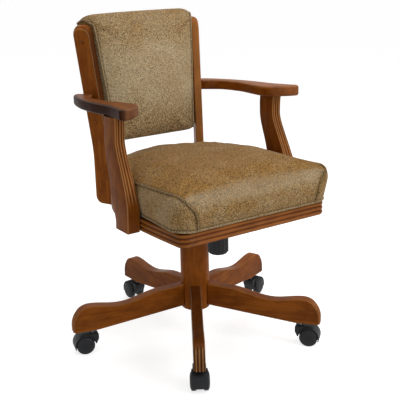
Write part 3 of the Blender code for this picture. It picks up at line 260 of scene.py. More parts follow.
def round_sided(outline_at, half, edge):
    """A moulding across the caster with both its side edges rounded over."""
    side_edge = []
    for i in range(6):
        angle = math.pi / 2 * i / 5
        side_edge.append((half - edge[0] * (1 - math.cos(angle)), edge[1] * (1 - math.sin(angle))))
    across = [(-side, drop) for side, drop in side_edge] + list(reversed(side_edge))
    return outward(skin([[(x, side, z) for x, z in outline_at(drop)] for side, drop in across]))


web_half = WHEEL_INNER - WEB_CLEARANCE
web_outline = arc(wheel_axis, FENDER_INNER + FENDER_WALL / 2, FENDER_FRONT, WEB_REAR, 30)
web_outline += [(CASTER_TRAIL - WHEEL_RADIUS * 0.35, WHEEL_RADIUS * 0.6),
                (CASTER_TRAIL + WHEEL_RADIUS * 0.45, WHEEL_RADIUS * 0.6)]
web = skin([[(x, across, z) for x, z in web_outline] for across in (-web_half, web_half)])
collar = turned([(0.0, COLLAR_TOP - COLLAR_HEIGHT), (COLLAR_RADIUS, COLLAR_TOP - COLLAR_HEIGHT),
                 (COLLAR_RADIUS, COLLAR_TOP - COLLAR_EDGE), (COLLAR_RADIUS - COLLAR_EDGE, COLLAR_TOP),
                 (0.0, COLLAR_TOP)], 32)
hood = joined(round_sided(fender_outline, FENDER_HALF, FENDER_EDGE),
              round_sided(neck_outline, NECK_HALF, NECK_EDGE), outward(web), collar)
stem_foot, stem_head = COLLAR_TOP - STEM_SEAT, COLLAR_TOP + STEM_SHOW + STEM_SEAT
stem = turned([(0.0, stem_foot), (STEM_RADIUS, stem_foot), (STEM_RADIUS, stem_head), (0.0, stem_head)], 28)

wheel_profile = [(0.0, WHEEL_HALF - WHEEL_SINK), (WHEEL_HUB, WHEEL_HALF - WHEEL_SINK),
                 (WHEEL_HUB * 1.1, WHEEL_HALF - WHEEL_GROOVE)]
for i in range(16):
    angle = math.radians(86 - 86 * i / 15)
    groove = WHEEL_GROOVE if i in WHEEL_GROOVE_STEPS else 0.0
    wheel_profile.append((WHEEL_RADIUS - WHEEL_DOME_RISE * (1 - math.cos(angle)),
                          WHEEL_HALF - WHEEL_DOME_WIDTH * (1 - math.sin(angle)) - groove))
wheel_profile += arc((WHEEL_RADIUS - WHEEL_EDGE, WHEEL_EDGE - WHEEL_HALF), WHEEL_EDGE, 0, -90, 5)
hole_end = WHEEL_HALF - 2 * WHEEL_SINK
wheel_profile += [(AXLE_HOLE, -hole_end), (AXLE_HOLE, hole_end), (0.0, hole_end)]

for number in range(1, LEG_COUNT + 1):
    pivot = Vector(joints[f"caster_swivel_{number}"]["pos_m"])
    place_on = (Matrix.Translation((pivot.x, pivot.y, 0.0))
                @ Matrix.Rotation(math.atan2(pivot.y, pivot.x), 4, "Z"))
    for name, mesh, look, slot in (("hood", hood, nylon, "black_nylon"),
                                   ("stem", stem, plated_steel, "bright_steel")):
        mesh = mesh.copy()
        mesh.transform(place_on)
        piece = fit(f"caster_{name}_piece_{number}", mesh, look, f"caster_{number}", slot)
        if name == "hood":
            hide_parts(f"caster_hood_{number}")
    coat(plated_steel, f"caster_axle_{number}")
    for word, side in (("right", -1), ("left", 1)):
        roll = joints[f"wheel_roll_{number}_{word}"]
        facing = (Vector(roll["axis"]) * side).to_track_quat("Z", "Y").to_matrix().to_4x4()
        mesh = turned(wheel_profile, 56)
        mesh.transform(Matrix.Translation(roll["pos_m"]) @ facing)
        fit(f"caster_tread_{number}_{word}", mesh, nylon, f"wheel_{number}_{word}", "black_nylon",
            f"caster_wheel_{number}_{word}")

# Base legs: five boards band-sawn to a cyma top and a rounded toe, with three reeds cut over the toe
# and eased edges, screwed to the column.  Hardwood, stained amber brown under a satin lacquer.
LEG_REACH = 0.3685
LEG_THICKNESS = 0.031
LEG_HUB_BOTTOM = 0.096
LEG_HUB_TOP = 0.162
LEG_SHOULDER = 0.095
LEG_UNDERSIDE = 0.0656
LEG_WAIST_REACH = 0.232
LEG_WAIST_TOP = 0.1306
LEG_KNEE_REACH = 0.318
LEG_KNEE_TOP = 0.1401
LEG_TOE_TOP = 0.0836
LEG_FLAT_REACH = 0.296
LEG_EASE = 0.0035
LEG_TOE_STEPS = 16
LEG_REEDS = 3
LEG_REED_RISE = 0.0018
LEG_REED_MARGIN = 0.08
LEG_TOE_CHAMFER = (0.006, 0.002)
# The first leg is painted darker, as the shade of the seat over it.
LEG_SHADE = (0.6, 0.0, 0.0, 0.0, 0.0)
COLUMN_RADIUS = 0.0415
BOARD_RIM = 0.0012
# Stain pooled in grooves, deepened further as painted shade.
GROOVE_STAIN_AND_SHADE = 0.35

# Hardwood under stain and satin lacquer: rings of growth about 9 mm apart and pores about 2.5 mm
# apart run along the board.  The stain lies in clouds.  A tone paint deepens it: stain pooled in the
# grooves with painted shade there, and painted shade on faces and pieces that the light misses.  A
# paler paint lightens it: stain thin on eased edges, and painted highlights on reed and bead crowns,
# on edges and on faces that the light falls on.  The pores of the real wood are finer, and are drawn
# as coarse as they need to show.
RING_WIDTH = 0.009
RING_LENGTH = 0.22
PORE_WIDTH = 0.0025
PORE_LENGTH = 0.05
BLOTCH_WIDTH = 0.026
BLOTCH_LENGTH = 0.055
GRAIN_STEP = Vector((1.7, 0.37, 0.53))
hardwood, tree, shader = new_finish("stained hardwood, satin lacquer")
grain = add(tree, "ShaderNodeAttribute", attribute_name="grain")
ring_place = add(tree, "ShaderNodeVectorMath", {0: grain.outputs["Vector"],
                                                1: (1 / RING_LENGTH, 1 / RING_WIDTH, 1 / RING_WIDTH)},
                 operation="MULTIPLY")
rings = add(tree, "ShaderNodeTexNoise", {"Vector": ring_place.outputs[0], "Scale": 1.0, "Detail": 4.0,
                                         "Roughness": 0.6, "Distortion": 0.7})
pore_place = add(tree, "ShaderNodeVectorMath", {0: grain.outputs["Vector"],
                                                1: (1 / PORE_LENGTH, 1 / PORE_WIDTH, 1 / PORE_WIDTH)},
                 operation="MULTIPLY")
pores = add(tree, "ShaderNodeTexNoise", {"Vector": pore_place.outputs[0], "Scale": 1.0, "Detail": 3.0,
                                         "Roughness": 0.7})
blotch_place = add(tree, "ShaderNodeVectorMath",
                   {0: grain.outputs["Vector"], 1: (1 / BLOTCH_LENGTH, 1 / BLOTCH_WIDTH, 1 / BLOTCH_WIDTH)},
                   operation="MULTIPLY")
blotch = add(tree, "ShaderNodeTexNoise", {"Vector": blotch_place.outputs[0], "Scale": 1.0, "Detail": 4.0,
                                          "Roughness": 0.62})
growth = add(tree, "ShaderNodeValToRGB", {"Fac": rings.outputs["Fac"]})
growth.color_ramp.elements[0].position = 0.32
growth.color_ramp.elements[0].color = linear("#7c4011")
growth.color_ramp.elements[1].position = 0.68
growth.color_ramp.elements[1].color = linear("#96551a")
growth.color_ramp.elements.new(0.5).color = linear("#8a4b15")
dark_pores = add(tree, "ShaderNodeMapRange", {"Value": pores.outputs["Fac"], "From Min": 0.52,
                                              "From Max": 0.72, "To Max": 0.16})
with_pores = add(tree, "ShaderNodeMix", {"Factor": dark_pores.outputs["Result"],
                                         "A": growth.outputs["Color"], "B": linear("#431c04")},
                 data_type="RGBA")
patches = add(tree, "ShaderNodeMapRange", {"Value": blotch.outputs["Fac"], "From Min": 0.42,
                                           "From Max": 0.68, "To Max": 0.68})
stained = add(tree, "ShaderNodeMix", {"Factor": patches.outputs["Result"],
                                      "A": with_pores.outputs["Result"], "B": linear("#643006")},
              data_type="RGBA")
# Deeper stain and painted shade, from the tone paint.
stain_and_shade_paint = add(tree, "ShaderNodeAttribute", attribute_name="tone")
deep = add(tree, "ShaderNodeMix", {"Factor": stain_and_shade_paint.outputs["Fac"], "A": stained.outputs["Result"],
                                   "B": linear("#27120a")}, data_type="RGBA")
# Thin stain on eased edges and painted highlights, from the paler paint; both mix towards one pale colour.
eased = add(tree, "ShaderNodeAttribute", attribute_name="eased")
worn_and_highlit_by = add(tree, "ShaderNodeMath", {0: eased.outputs["Fac"], 1: 0.5}, operation="MULTIPLY")
rubbed = add(tree, "ShaderNodeMix", {"Factor": worn_and_highlit_by.outputs["Value"], "A": deep.outputs["Result"],
                                     "B": linear("#bd8d58")}, data_type="RGBA")
gloss = add(tree, "ShaderNodeMapRange", {"Value": pores.outputs["Fac"], "To Min": 0.3, "To Max": 0.46})
grain_bump = add(tree, "ShaderNodeBump", {"Height": pores.outputs["Fac"], "Strength": 0.12,
                                          "Distance": 0.0006})
tree.links.new(rubbed.outputs["Result"], shader.inputs["Base Color"])
tree.links.new(gloss.outputs["Result"], shader.inputs["Roughness"])
tree.links.new(grain_bump.outputs["Normal"], shader.inputs["Normal"])
shader.inputs["Coat Weight"].default_value = 0.03
shader.inputs["Coat Roughness"].default_value = 0.14
shader.inputs["Specular IOR Level"].default_value = 0.038
shader.inputs["IOR"].default_value = 1.5


def swing(t):
    """From 0 to 1 with a level start and end."""
    return (1 - math.cos(math.pi * min(max(t, 0.0), 1.0))) / 2


def drawn_in(outline, inset):
    """An outline set inwards, and its normals; points that would cross at a tight corner meet there."""
    points = np.array([tuple(p) for p in outline])
    way = np.roll(points, -1, axis=0) - points
    facing = np.stack((way[:, 1], -way[:, 0]), axis=1)
    facing /= np.linalg.norm(facing, axis=1, keepdims=True)
    normals = facing + np.roll(facing, 1, axis=0)
    normals /= np.linalg.norm(normals, axis=1, keepdims=True)
    mitre = 1 / np.maximum((normals * facing).sum(axis=1, keepdims=True), 0.5)
    inner = points - normals * mitre * inset
    if inset > 0:
        gap = inner[:, None] - points
        along = np.clip((gap * way).sum(axis=2) / (way * way).sum(axis=1), 0.0, 1.0)
        room = np.linalg.norm(gap - way * along[..., None], axis=2).min(axis=1)
        clear = np.nonzero(room > inset * 0.95)[0]
        for i in np.nonzero(room <= inset * 0.95)[0]:
            steps = np.abs(clear - i)
            inner[i] = inner[clear[np.argmin(np.minimum(steps, len(points) - steps))]]
    return inner, normals


def paint(mesh, **values):
    """Store a number or a vector at every point of a mesh, over what was there; one number goes to all."""
    for name, data in values.items():
        data = np.asarray(data, np.float32)
        if data.ndim == 0:
            data = np.full(len(mesh.vertices), data)
        kind = "FLOAT_VECTOR" if data.ndim == 2 else "FLOAT"
        layer = mesh.attributes.get(name) or mesh.attributes.new(name, kind, "POINT")
        layer.data.foreach_set("vector" if data.ndim == 2 else "value", data.ravel())


def board(section, place, low, high, ease_by, inner, relief, lie, seed, tone):
    """A board with round edges: its outline at each place across it, drawn in towards both faces.

    Place sets a point of the outline into the chair and lie gives its place in the grain.  Relief is
    how far a point is sunk and how much painted highlight it gets; eased edges get thin stain and a
    painted highlight, grooves pooled stain and painted shade, and tone is how deep stain and painted
    shade are."""
    slices = [(low, ease_by + BOARD_RIM, False)]
    for i in range(4):
        angle = math.pi / 2 * i / 4
        slices.append((low + ease_by * (1 - math.cos(angle)), ease_by * (1 - math.sin(angle)), i == 2))
    for i in range(inner + 1):
        slices.append((low + ease_by + (high - low - 2 * ease_by) * i / inner, 0.0, False))
    slices += [(low + high - across, inset, mark) for across, inset, mark in reversed(slices[:5])]
    rings, lies, marks, stain_and_shade = [], [], [], []
    for across, inset, mark in slices:
        ring = []
        for i, (point, normal) in enumerate(zip(*drawn_in(section(across), inset))):
            sunk, crown = relief(i, (across - low) / (high - low), normal)
            u, v = point - normal * sunk
            stain_and_shade.append(tone(normal, inset) + GROOVE_STAIN_AND_SHADE * sunk / LEG_REED_RISE)
            ring.append(place(u, v, across))
            lies.append(lie(u, v, across))
            marks.append(1.0 if mark else crown * (inset < ease_by * 0.7))
        rings.append(ring)
    mesh = skin(rings)
    paint(mesh, grain=np.array(lies) + np.array(GRAIN_STEP) * seed, eased=marks, tone=stain_and_shade)
    return outward(mesh, 35)


def geometry_tree(name, sockets):
    """A Geometry Nodes tree with named inputs; its input and output nodes come back with it."""
    made = bpy.data.node_groups.new(name, "GeometryNodeTree")
    made.interface.new_socket("Geometry", in_out="OUTPUT", socket_type="NodeSocketGeometry")
    for label, kind in sockets:
        made.interface.new_socket(label, in_out="INPUT", socket_type=kind)
    return made, add(made, "NodeGroupInput"), add(made, "NodeGroupOutput")


def finish_tree(tree, given, out, shape):
    """End a tree: its instances are made real and take the finish that it is given."""
    real = add(tree, "GeometryNodeRealizeInstances", {0: shape})
    clad = add(tree, "GeometryNodeSetMaterial", {0: real.outputs[0], "Material": given.outputs["Finish"]})
    tree.links.new(clad.outputs[0], out.inputs[0])


def grown(mesh, made_by, **inputs):
    """Run a Geometry Nodes tree on a mesh and bring the result back as a plain mesh."""
    thing = bpy.data.objects.new("seedling", mesh)
    bpy.context.scene.collection.objects.link(thing)
    step = thing.modifiers.new("grow", "NODES")
    step.node_group = made_by
    for item in made_by.interface.items_tree:
        key = item.name.replace(" ", "_").lower()
        if item.item_type == "SOCKET" and item.in_out == "INPUT" and key in inputs:
            step[item.identifier] = inputs[key]
    graph = bpy.context.evaluated_depsgraph_get()
    result = bpy.data.meshes.new_from_object(thing.evaluated_get(graph))
    thing.modifiers.clear()
    bpy.data.objects.remove(thing, do_unlink=True)
    return result


def leg_section(across):
    """Side outline of a leg, hollowed to the column at its inner end."""
    hub = math.sqrt((COLUMN_RADIUS + GAP) ** 2 - across ** 2)
    points = [(hub, LEG_HUB_BOTTOM), ((hub + LEG_FLAT_REACH) / 2, (LEG_HUB_BOTTOM + LEG_UNDERSIDE) / 2),
              (LEG_FLAT_REACH, LEG_UNDERSIDE), (LEG_REACH - LEG_TOE_CHAMFER[0], LEG_UNDERSIDE),
              (LEG_REACH, LEG_UNDERSIDE + LEG_TOE_CHAMFER[1]), (LEG_REACH, (LEG_UNDERSIDE + LEG_TOE_TOP) / 2)]
    for i in range(LEG_TOE_STEPS + 1):
        angle = math.pi / 2 * i / LEG_TOE_STEPS
        points.append((LEG_KNEE_REACH + (LEG_REACH - LEG_KNEE_REACH) * math.cos(angle),
                       LEG_TOE_TOP + (LEG_KNEE_TOP - LEG_TOE_TOP) * math.sin(angle)))
    for i in range(1, 13):
        t = i / 12
        points.append((LEG_KNEE_REACH + (LEG_WAIST_REACH - LEG_KNEE_REACH) * t,
                       LEG_KNEE_TOP + (LEG_WAIST_TOP - LEG_KNEE_TOP) * swing(t)))
    shoulder_top = LEG_HUB_TOP - 0.1 * (LEG_HUB_TOP - LEG_HUB_BOTTOM)
    for i in range(1, 19):
        t = i / 18
        points.append((LEG_WAIST_REACH + (LEG_SHOULDER - LEG_WAIST_REACH) * t,
                       LEG_WAIST_TOP + (shoulder_top - LEG_WAIST_TOP) * swing(t)))
    points.append((hub, LEG_HUB_TOP))
    return points


def leg_relief(index, share, normal):
    """Reeds over the toe, sunk below the board's face, running out towards the knee, with a painted highlight
    on their crowns.
    """
    fade = swing((6 + 0.62 * LEG_TOE_STEPS - index) / 3) if index >= 4 else 0.0
    across = (share - LEG_REED_MARGIN) / (1 - 2 * LEG_REED_MARGIN)
    groove = 1 - abs(math.sin(math.pi * LEG_REEDS * min(max(across, 0.0), 1.0)))
    return LEG_REED_RISE * fade * groove, fade * (1 - groove) ** 6


leg = board(leg_section, lambda u, v, a: (u, a, v), -LEG_THICKNESS / 2, LEG_THICKNESS / 2, LEG_EASE, 28,
            leg_relief, lambda u, v, a: (u, a, v), 0, lambda normal, inset: 0.0)
star, given, out = geometry_tree("legs round the column", (
    ("Leg", "NodeSocketGeometry"), ("Count", "NodeSocketInt"), ("First Angle", "NodeSocketFloat"),
    ("Finish", "NodeSocketMaterial")))
spots = add(star, "GeometryNodePoints", {"Count": given.outputs["Count"]})
index = add(star, "GeometryNodeInputIndex")
turn_each = add(star, "ShaderNodeMath", {0: 2 * math.pi, 1: given.outputs["Count"]}, operation="DIVIDE")
turn = add(star, "ShaderNodeMath", {0: index.outputs[0], 1: turn_each.outputs[0],
                                    2: given.outputs["First Angle"]}, operation="MULTIPLY_ADD")
about = add(star, "ShaderNodeCombineXYZ", {"Z": turn.outputs[0]})
ring = add(star, "GeometryNodeInstanceOnPoints", {"Points": spots.outputs[0],
                                                  "Instance": given.outputs["Leg"],
                                                  "Rotation": about.outputs[0]})
finish_tree(star, given, out, ring.outputs[0])
first_leg = Vector(joints["caster_swivel_1"]["pos_m"])
legs = grown(leg, star, count=LEG_COUNT, first_angle=math.atan2(first_leg.y, first_leg.x), finish=hardwood)


def painted(mesh, name):
    """What paint stored at every point of a mesh."""
    layer = mesh.attributes[name]
    wide = 3 if layer.data_type == "FLOAT_VECTOR" else 1
    data = np.zeros(len(layer.data) * wide, np.float32)
    layer.data.foreach_get("vector" if wide == 3 else "value", data)
    return data.reshape(-1, wide) if wide == 3 else data


which = np.repeat(np.arange(LEG_COUNT), len(legs.vertices) // LEG_COUNT)
paint(legs, grain=painted(legs, "grain") + which[:, None] * np.array(GRAIN_STEP),
      tone=painted(legs, "tone") + np.array(LEG_SHADE)[which])
legs.set_sharp_from_angle(angle=math.radians(35))
fit("base_legs", legs, hardwood, "base", "stained_hardwood",
    *[f"base_leg_{number}" for number in range(1, LEG_COUNT + 1)])

# Column: one turned hardwood post that the legs are screwed to, bored for the lift, with a small
# round at both ends.
COLUMN_BOTTOM = 0.085
COLUMN_TOP = 0.350
COLUMN_BORE = 0.025
COLUMN_ROUND = 0.003
profile = [(COLUMN_BORE, COLUMN_BOTTOM)]
profile += arc((COLUMN_RADIUS - COLUMN_ROUND, COLUMN_BOTTOM + COLUMN_ROUND), COLUMN_ROUND, -90, 0, 5)
profile += [(r, COLUMN_BOTTOM + COLUMN_TOP - z) for r, z in reversed(profile)]
column = turned(profile, 96)


def places_of(mesh):
    """Where a mesh's points are, a row for each."""
    places = np.zeros(len(mesh.vertices) * 3)
    mesh.vertices.foreach_get("co", places)
    return places.reshape(-1, 3)


def lay_grain(mesh, along, across, seed):
    """Lay the grain of a plain piece along one direction of the chair."""
    along, across = Vector(along).normalized(), Vector(across)
    across = (across - along * across.dot(along)).normalized()
    basis = np.array((along, across, along.cross(across)))
    paint(mesh, grain=places_of(mesh) @ basis.T + np.array(GRAIN_STEP) * seed, eased=0.0, tone=0.0)
    return mesh


fit("base_post", lay_grain(column, (0, 0, 1), (1, 0, 0), 7), hardwood, "base", "stained_hardwood",
    "base_column")

# Gas lift: an enamelled steel cylinder that slides in a nylon bush in the stand tube; its plated
# piston rod turns on a thrust washer at the foot of the tube.

# Black enamel, sprayed and baked: a half gloss with an orange peel of about 4 mm.
ENAMEL_PEEL = 0.00385
enamel, tree, shader = new_finish("black enamel on pressed steel")
place = add(tree, "ShaderNodeTexCoord")
peel = add(tree, "ShaderNodeTexNoise", {"Vector": place.outputs["Object"], "Scale": 1 / ENAMEL_PEEL,
                                        "Detail": 2.0})
tone = add(tree, "ShaderNodeMix", {"Factor": peel.outputs["Fac"], "A": linear("#1c1d1f"),
                                   "B": linear("#2d2e31")}, data_type="RGBA")
gloss = add(tree, "ShaderNodeMapRange", {"Value": peel.outputs["Fac"], "To Min": 0.28, "To Max": 0.42})
peel_bump = add(tree, "ShaderNodeBump", {"Height": peel.outputs["Fac"], "Strength": 0.15,
                                         "Distance": 0.0004})
tree.links.new(tone.outputs["Result"], shader.inputs["Base Color"])
tree.links.new(gloss.outputs["Result"], shader.inputs["Roughness"])
tree.links.new(peel_bump.outputs["Normal"], shader.inputs["Normal"])
coat(enamel, "stand_tube", "gas_cylinder")
coat(nylon, "guide_bush")
coat(plated_steel, "gas_rod", "thrust_washer", "rod_clip", "valve_pin")

# Tilt mechanism: a pressed steel housing on the cylinder, the seat plate that rocks on its pin, and
# the lift lever with its nylon sleeve.
coat(enamel, "tilt_housing", "seat_plate")
coat(plated_steel, "tilt_pin", "tension_bolt")
coat(nylon, "lift_lever")

# Tension spring: hard-drawn steel wire wound into an open coil with a flat half turn at each end; it
# sits in the knob's cup and bears on the housing, and closes as the seat tilts back.
SPRING_RADIUS = 0.0105
SPRING_WIRE = 0.0032
SPRING_TURNS = 5
SPRING_STEPS = 24
SPRING_SPACING = 0.0025
SPRING_FOOT = 0.3253
SPRING_HEAD = 0.3727
bolt_at = Vector(joints["tension_knob"]["pos_m"])
sweep_tree, given, out = geometry_tree("cord along a path", (
    ("Path", "NodeSocketGeometry"), ("Radius", "NodeSocketFloat"), ("Spacing", "NodeSocketFloat"),
    ("Sides", "NodeSocketInt"), ("Finish", "NodeSocketMaterial")))
line = add(sweep_tree, "GeometryNodeMeshToCurve", {0: given.outputs["Path"]})
even = add(sweep_tree, "GeometryNodeResampleCurve", {"Curve": line.outputs[0],
                                                     "Length": given.outputs["Spacing"]}, mode="LENGTH")
round_section = add(sweep_tree, "GeometryNodeCurvePrimitiveCircle", {"Resolution": given.outputs["Sides"],
                                                                     "Radius": given.outputs["Radius"]})
swept = add(sweep_tree, "GeometryNodeCurveToMesh", {"Curve": even.outputs[0],
                                                    "Profile Curve": round_section.outputs[0],
                                                    "Fill Caps": True})
finish_tree(sweep_tree, given, out, swept.outputs[0])


def cord(points, radius, spacing, sides, look, closed=False):
    """A round cord along a path of points."""
    edges = [(i, i + 1) for i in range(len(points) - 1)]
    if closed:
        edges.append((len(points) - 1, 0))
    mesh = bpy.data.meshes.new("path")
    mesh.from_pydata([tuple(p) for p in points], edges, [])
    made = grown(mesh, sweep_tree, radius=radius, spacing=spacing, sides=sides, finish=look)
    return outward(made, 60)


coil = []
for i in range(SPRING_STEPS * (SPRING_TURNS + 1) + 1):
    turn_at = i / SPRING_STEPS
    climb = min(max(turn_at - 0.5, 0.0), SPRING_TURNS) / SPRING_TURNS
    angle = 2 * math.pi * turn_at
    coil.append((bolt_at.x + SPRING_RADIUS * math.cos(angle), bolt_at.y + SPRING_RADIUS * math.sin(angle),
                 SPRING_FOOT + SPRING_WIRE / 2 + (SPRING_HEAD - SPRING_FOOT - SPRING_WIRE) * climb))
wire = cord(coil, SPRING_WIRE / 2, SPRING_SPACING, 10, plated_steel)
spring = fit("tension_coil", wire, plated_steel, "seat", "bright_steel", "tension_spring")
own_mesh(spring)

# Tension knob: a moulded nylon hand knob, screwed on the tension bolt under the front of the seat.
# Ribs stand round its side for grip, and a cup in its top holds the foot of the spring.
KNOB_RADIUS = 0.029
KNOB_BOTTOM = 0.287
KNOB_TOP = 0.335
KNOB_CUP_RADIUS = 0.018
KNOB_CUP_FLOOR = 0.325
KNOB_BORE = 0.0053
KNOB_ROUND = 0.006
KNOB_EDGE = 0.0015
KNOB_FLAT = 0.020
KNOB_RIBS = 16
RIB_RADIUS = 0.0031
RIB_RISE = 0.0018
RIB_FOOT = 0.006
RIB_HEAD = 0.002
core = KNOB_RADIUS - RIB_RISE
profile = [(KNOB_BORE, KNOB_BOTTOM), (KNOB_FLAT, KNOB_BOTTOM)]
profile += arc((core - KNOB_ROUND, KNOB_BOTTOM + KNOB_ROUND), KNOB_ROUND, -90, 0, 6)[1:]
profile += [(core, KNOB_TOP - KNOB_EDGE), (core - KNOB_EDGE, KNOB_TOP), (KNOB_CUP_RADIUS, KNOB_TOP),
            (KNOB_CUP_RADIUS, KNOB_CUP_FLOOR), (KNOB_BORE, KNOB_CUP_FLOOR)]
grip, given, out = geometry_tree("ribs round the knob", (
    ("Knob", "NodeSocketGeometry"), ("Ribs", "NodeSocketInt"), ("Rib Radius", "NodeSocketFloat"),
    ("Rib Length", "NodeSocketFloat"), ("Ring Radius", "NodeSocketFloat"),
    ("Ring Height", "NodeSocketFloat"), ("Finish", "NodeSocketMaterial")))
ring_of = add(grip, "GeometryNodeMeshCircle", {"Vertices": given.outputs["Ribs"],
                                               "Radius": given.outputs["Ring Radius"]})
lift_by = add(grip, "ShaderNodeCombineXYZ", {"Z": given.outputs["Ring Height"]})
raised = add(grip, "GeometryNodeTransform", {0: ring_of.outputs[0], "Translation": lift_by.outputs[0]})
rib = add(grip, "GeometryNodeMeshCylinder", {"Vertices": 12, "Radius": given.outputs["Rib Radius"],
                                             "Depth": given.outputs["Rib Length"]})
ribs = add(grip, "GeometryNodeInstanceOnPoints", {"Points": raised.outputs[0], "Instance": rib.outputs[0]})
both = add(grip, "GeometryNodeJoinGeometry")
grip.links.new(given.outputs["Knob"], both.inputs[0])
grip.links.new(ribs.outputs[0], both.inputs[0])
finish_tree(grip, given, out, both.outputs[0])
rib_low, rib_high = KNOB_BOTTOM + RIB_FOOT, KNOB_TOP - RIB_HEAD
knob = grown(turned(profile, 64), grip, ribs=KNOB_RIBS, rib_radius=RIB_RADIUS,
             rib_length=rib_high - rib_low, ring_radius=KNOB_RADIUS - RIB_RADIUS,
             ring_height=(rib_high + rib_low) / 2, finish=nylon)
knob.transform(Matrix.Translation((bolt_at.x, bolt_at.y, 0.0)))
fit("tension_hand_knob", outward(knob, 35, 0.0), nylon, "knob", "black_nylon", "tension_knob")

# Seat board: birch plywood set inside the rails, left bare.  It carries the cushion, and the steel
# plate of the tilt mechanism is bolted under it.  The back has a board of the same plywood.

# Birch is pale with a fine figure of about 7 mm, drawn out along the face; the plies are 1.4 mm.
FIGURE_LENGTH = 0.111
FIGURE_WIDTH = 0.00714
PLY = 0.00143
plywood, tree, shader = new_finish("birch plywood")
place = add(tree, "ShaderNodeTexCoord")
along = add(tree, "ShaderNodeMapping", {"Vector": place.outputs["Object"],
                                        "Scale": (1 / FIGURE_LENGTH, 1 / FIGURE_WIDTH, 1 / PLY)})
figure = add(tree, "ShaderNodeTexNoise", {"Vector": along.outputs[0], "Scale": 1.0, "Detail": 4.0})
tone = add(tree, "ShaderNodeMix", {"Factor": figure.outputs["Fac"], "A": linear("#a8834f"),
                                   "B": linear("#d3b483")}, data_type="RGBA")
gloss = add(tree, "ShaderNodeMapRange", {"Value": figure.outputs["Fac"], "To Min": 0.6, "To Max": 0.8})
tree.links.new(tone.outputs["Result"], shader.inputs["Base Color"])
tree.links.new(gloss.outputs["Result"], shader.inputs["Roughness"])
coat(plywood, "seat_board", "back_board")

# Seat rails: hardwood mouldings with three beads on the face, mitred round the seat board and
# rounded at the front corners, stained like the base.
RAIL_BOTTOM = 0.4000
RAIL_TOP = 0.4365
RAIL_THICKNESS = 0.018
RAIL_BEADS = 3
BEAD_BULGE = 0.0025
BEAD_VALLEY = 0.0012
RAIL_LIP = 0.003
SEAT_FRONT = -0.2985
SEAT_FRONT_HALF = 0.2275
SEAT_HALF = 0.240
SEAT_WIDEST_Y = -0.060
SEAT_REAR = 0.2475
SEAT_CORNER = 0.022
FRONT_JOINT_X = 0.185
REAR_JOINT_X = 0.120


def fillet(before, corner, after, radius, steps):
    """Points of an arc that rounds a corner of an outline."""
    before, corner, after = Vector(before), Vector(corner), Vector(after)
    a = (before - corner).normalized()
    b = (after - corner).normalized()
    half_angle = a.angle(b) / 2
    centre = corner + (a + b).normalized() * (radius / math.sin(half_angle))
    start = corner + a * (radius / math.tan(half_angle)) - centre
    end = corner + b * (radius / math.tan(half_angle)) - centre
    turn_by = start.angle_signed(end)
    return [centre + Matrix.Rotation(-turn_by * i / steps, 2) @ start for i in range(steps + 1)]


def seat_edge(front, front_half, half, rear, corner):
    """Left half of a seat outline, from the front's middle to the rear's: points and outward normals."""
    points = [Vector((front_half * 0.8 * i / 16, front)) for i in range(17)]
    points += fillet((0.0, front), (front_half, front), (half, SEAT_WIDEST_Y), corner, 10)
    start = points[-1]
    for i in range(1, 17):
        t = i / 16
        points.append(Vector((start.x + (half - start.x) * math.sin(t * math.pi / 2),
                              start.y + (SEAT_WIDEST_Y - start.y) * t)))
    for i in range(1, 41):
        angle = math.pi / 2 * i / 40
        points.append(Vector((half * math.cos(angle),
                              SEAT_WIDEST_Y + (rear - SEAT_WIDEST_Y) * math.sin(angle))))
    normals = []
    for i in range(len(points)):
        step = points[min(i + 1, len(points) - 1)] - points[max(i - 1, 0)]
        normals.append(Vector((step.y, -step.x)).normalized())
    normals[-1] = Vector((0.0, 1.0))
    return points, normals


rail_section = [(-RAIL_THICKNESS, RAIL_BOTTOM), (-RAIL_LIP, RAIL_BOTTOM)]
bead = (RAIL_TOP - RAIL_BOTTOM) / RAIL_BEADS
for number in range(RAIL_BEADS):
    for i in range(1, 12):
        t = i / 12
        rail_section.append((-BEAD_VALLEY + (BEAD_BULGE + BEAD_VALLEY) * math.sin(math.pi * t) ** 0.8,
                             RAIL_BOTTOM + bead * (number + t)))
rail_section += [(-RAIL_LIP, RAIL_TOP), (-RAIL_THICKNESS, RAIL_TOP)]


def rail(points, normals, along, seed, painted_shade=0.0):
    """A moulded rail along part of the seat outline, with a painted shade; stain pools between the beads,
    deepened as painted shade, and the bead crowns get a painted highlight.
    """
    rings = [[(p.x + n.x * o, p.y + n.y * o, z) for o, z in rail_section] for p, n in zip(points, normals)]
    mesh = lay_grain(skin(rings), along, (0, 0, 1), seed)
    offsets = np.array([o for o, z in rail_section] * len(rings))
    pooled_and_shaded = 0.8 * np.clip((BEAD_BULGE * 0.6 - offsets) / (BEAD_BULGE * 0.9), 0.0, 1.0)
    paint(mesh, eased=0.3 * (offsets > BEAD_BULGE * 0.8),
          tone=painted_shade + pooled_and_shaded * (offsets > -RAIL_LIP - 0.0005))
    return outward(mesh, 50)


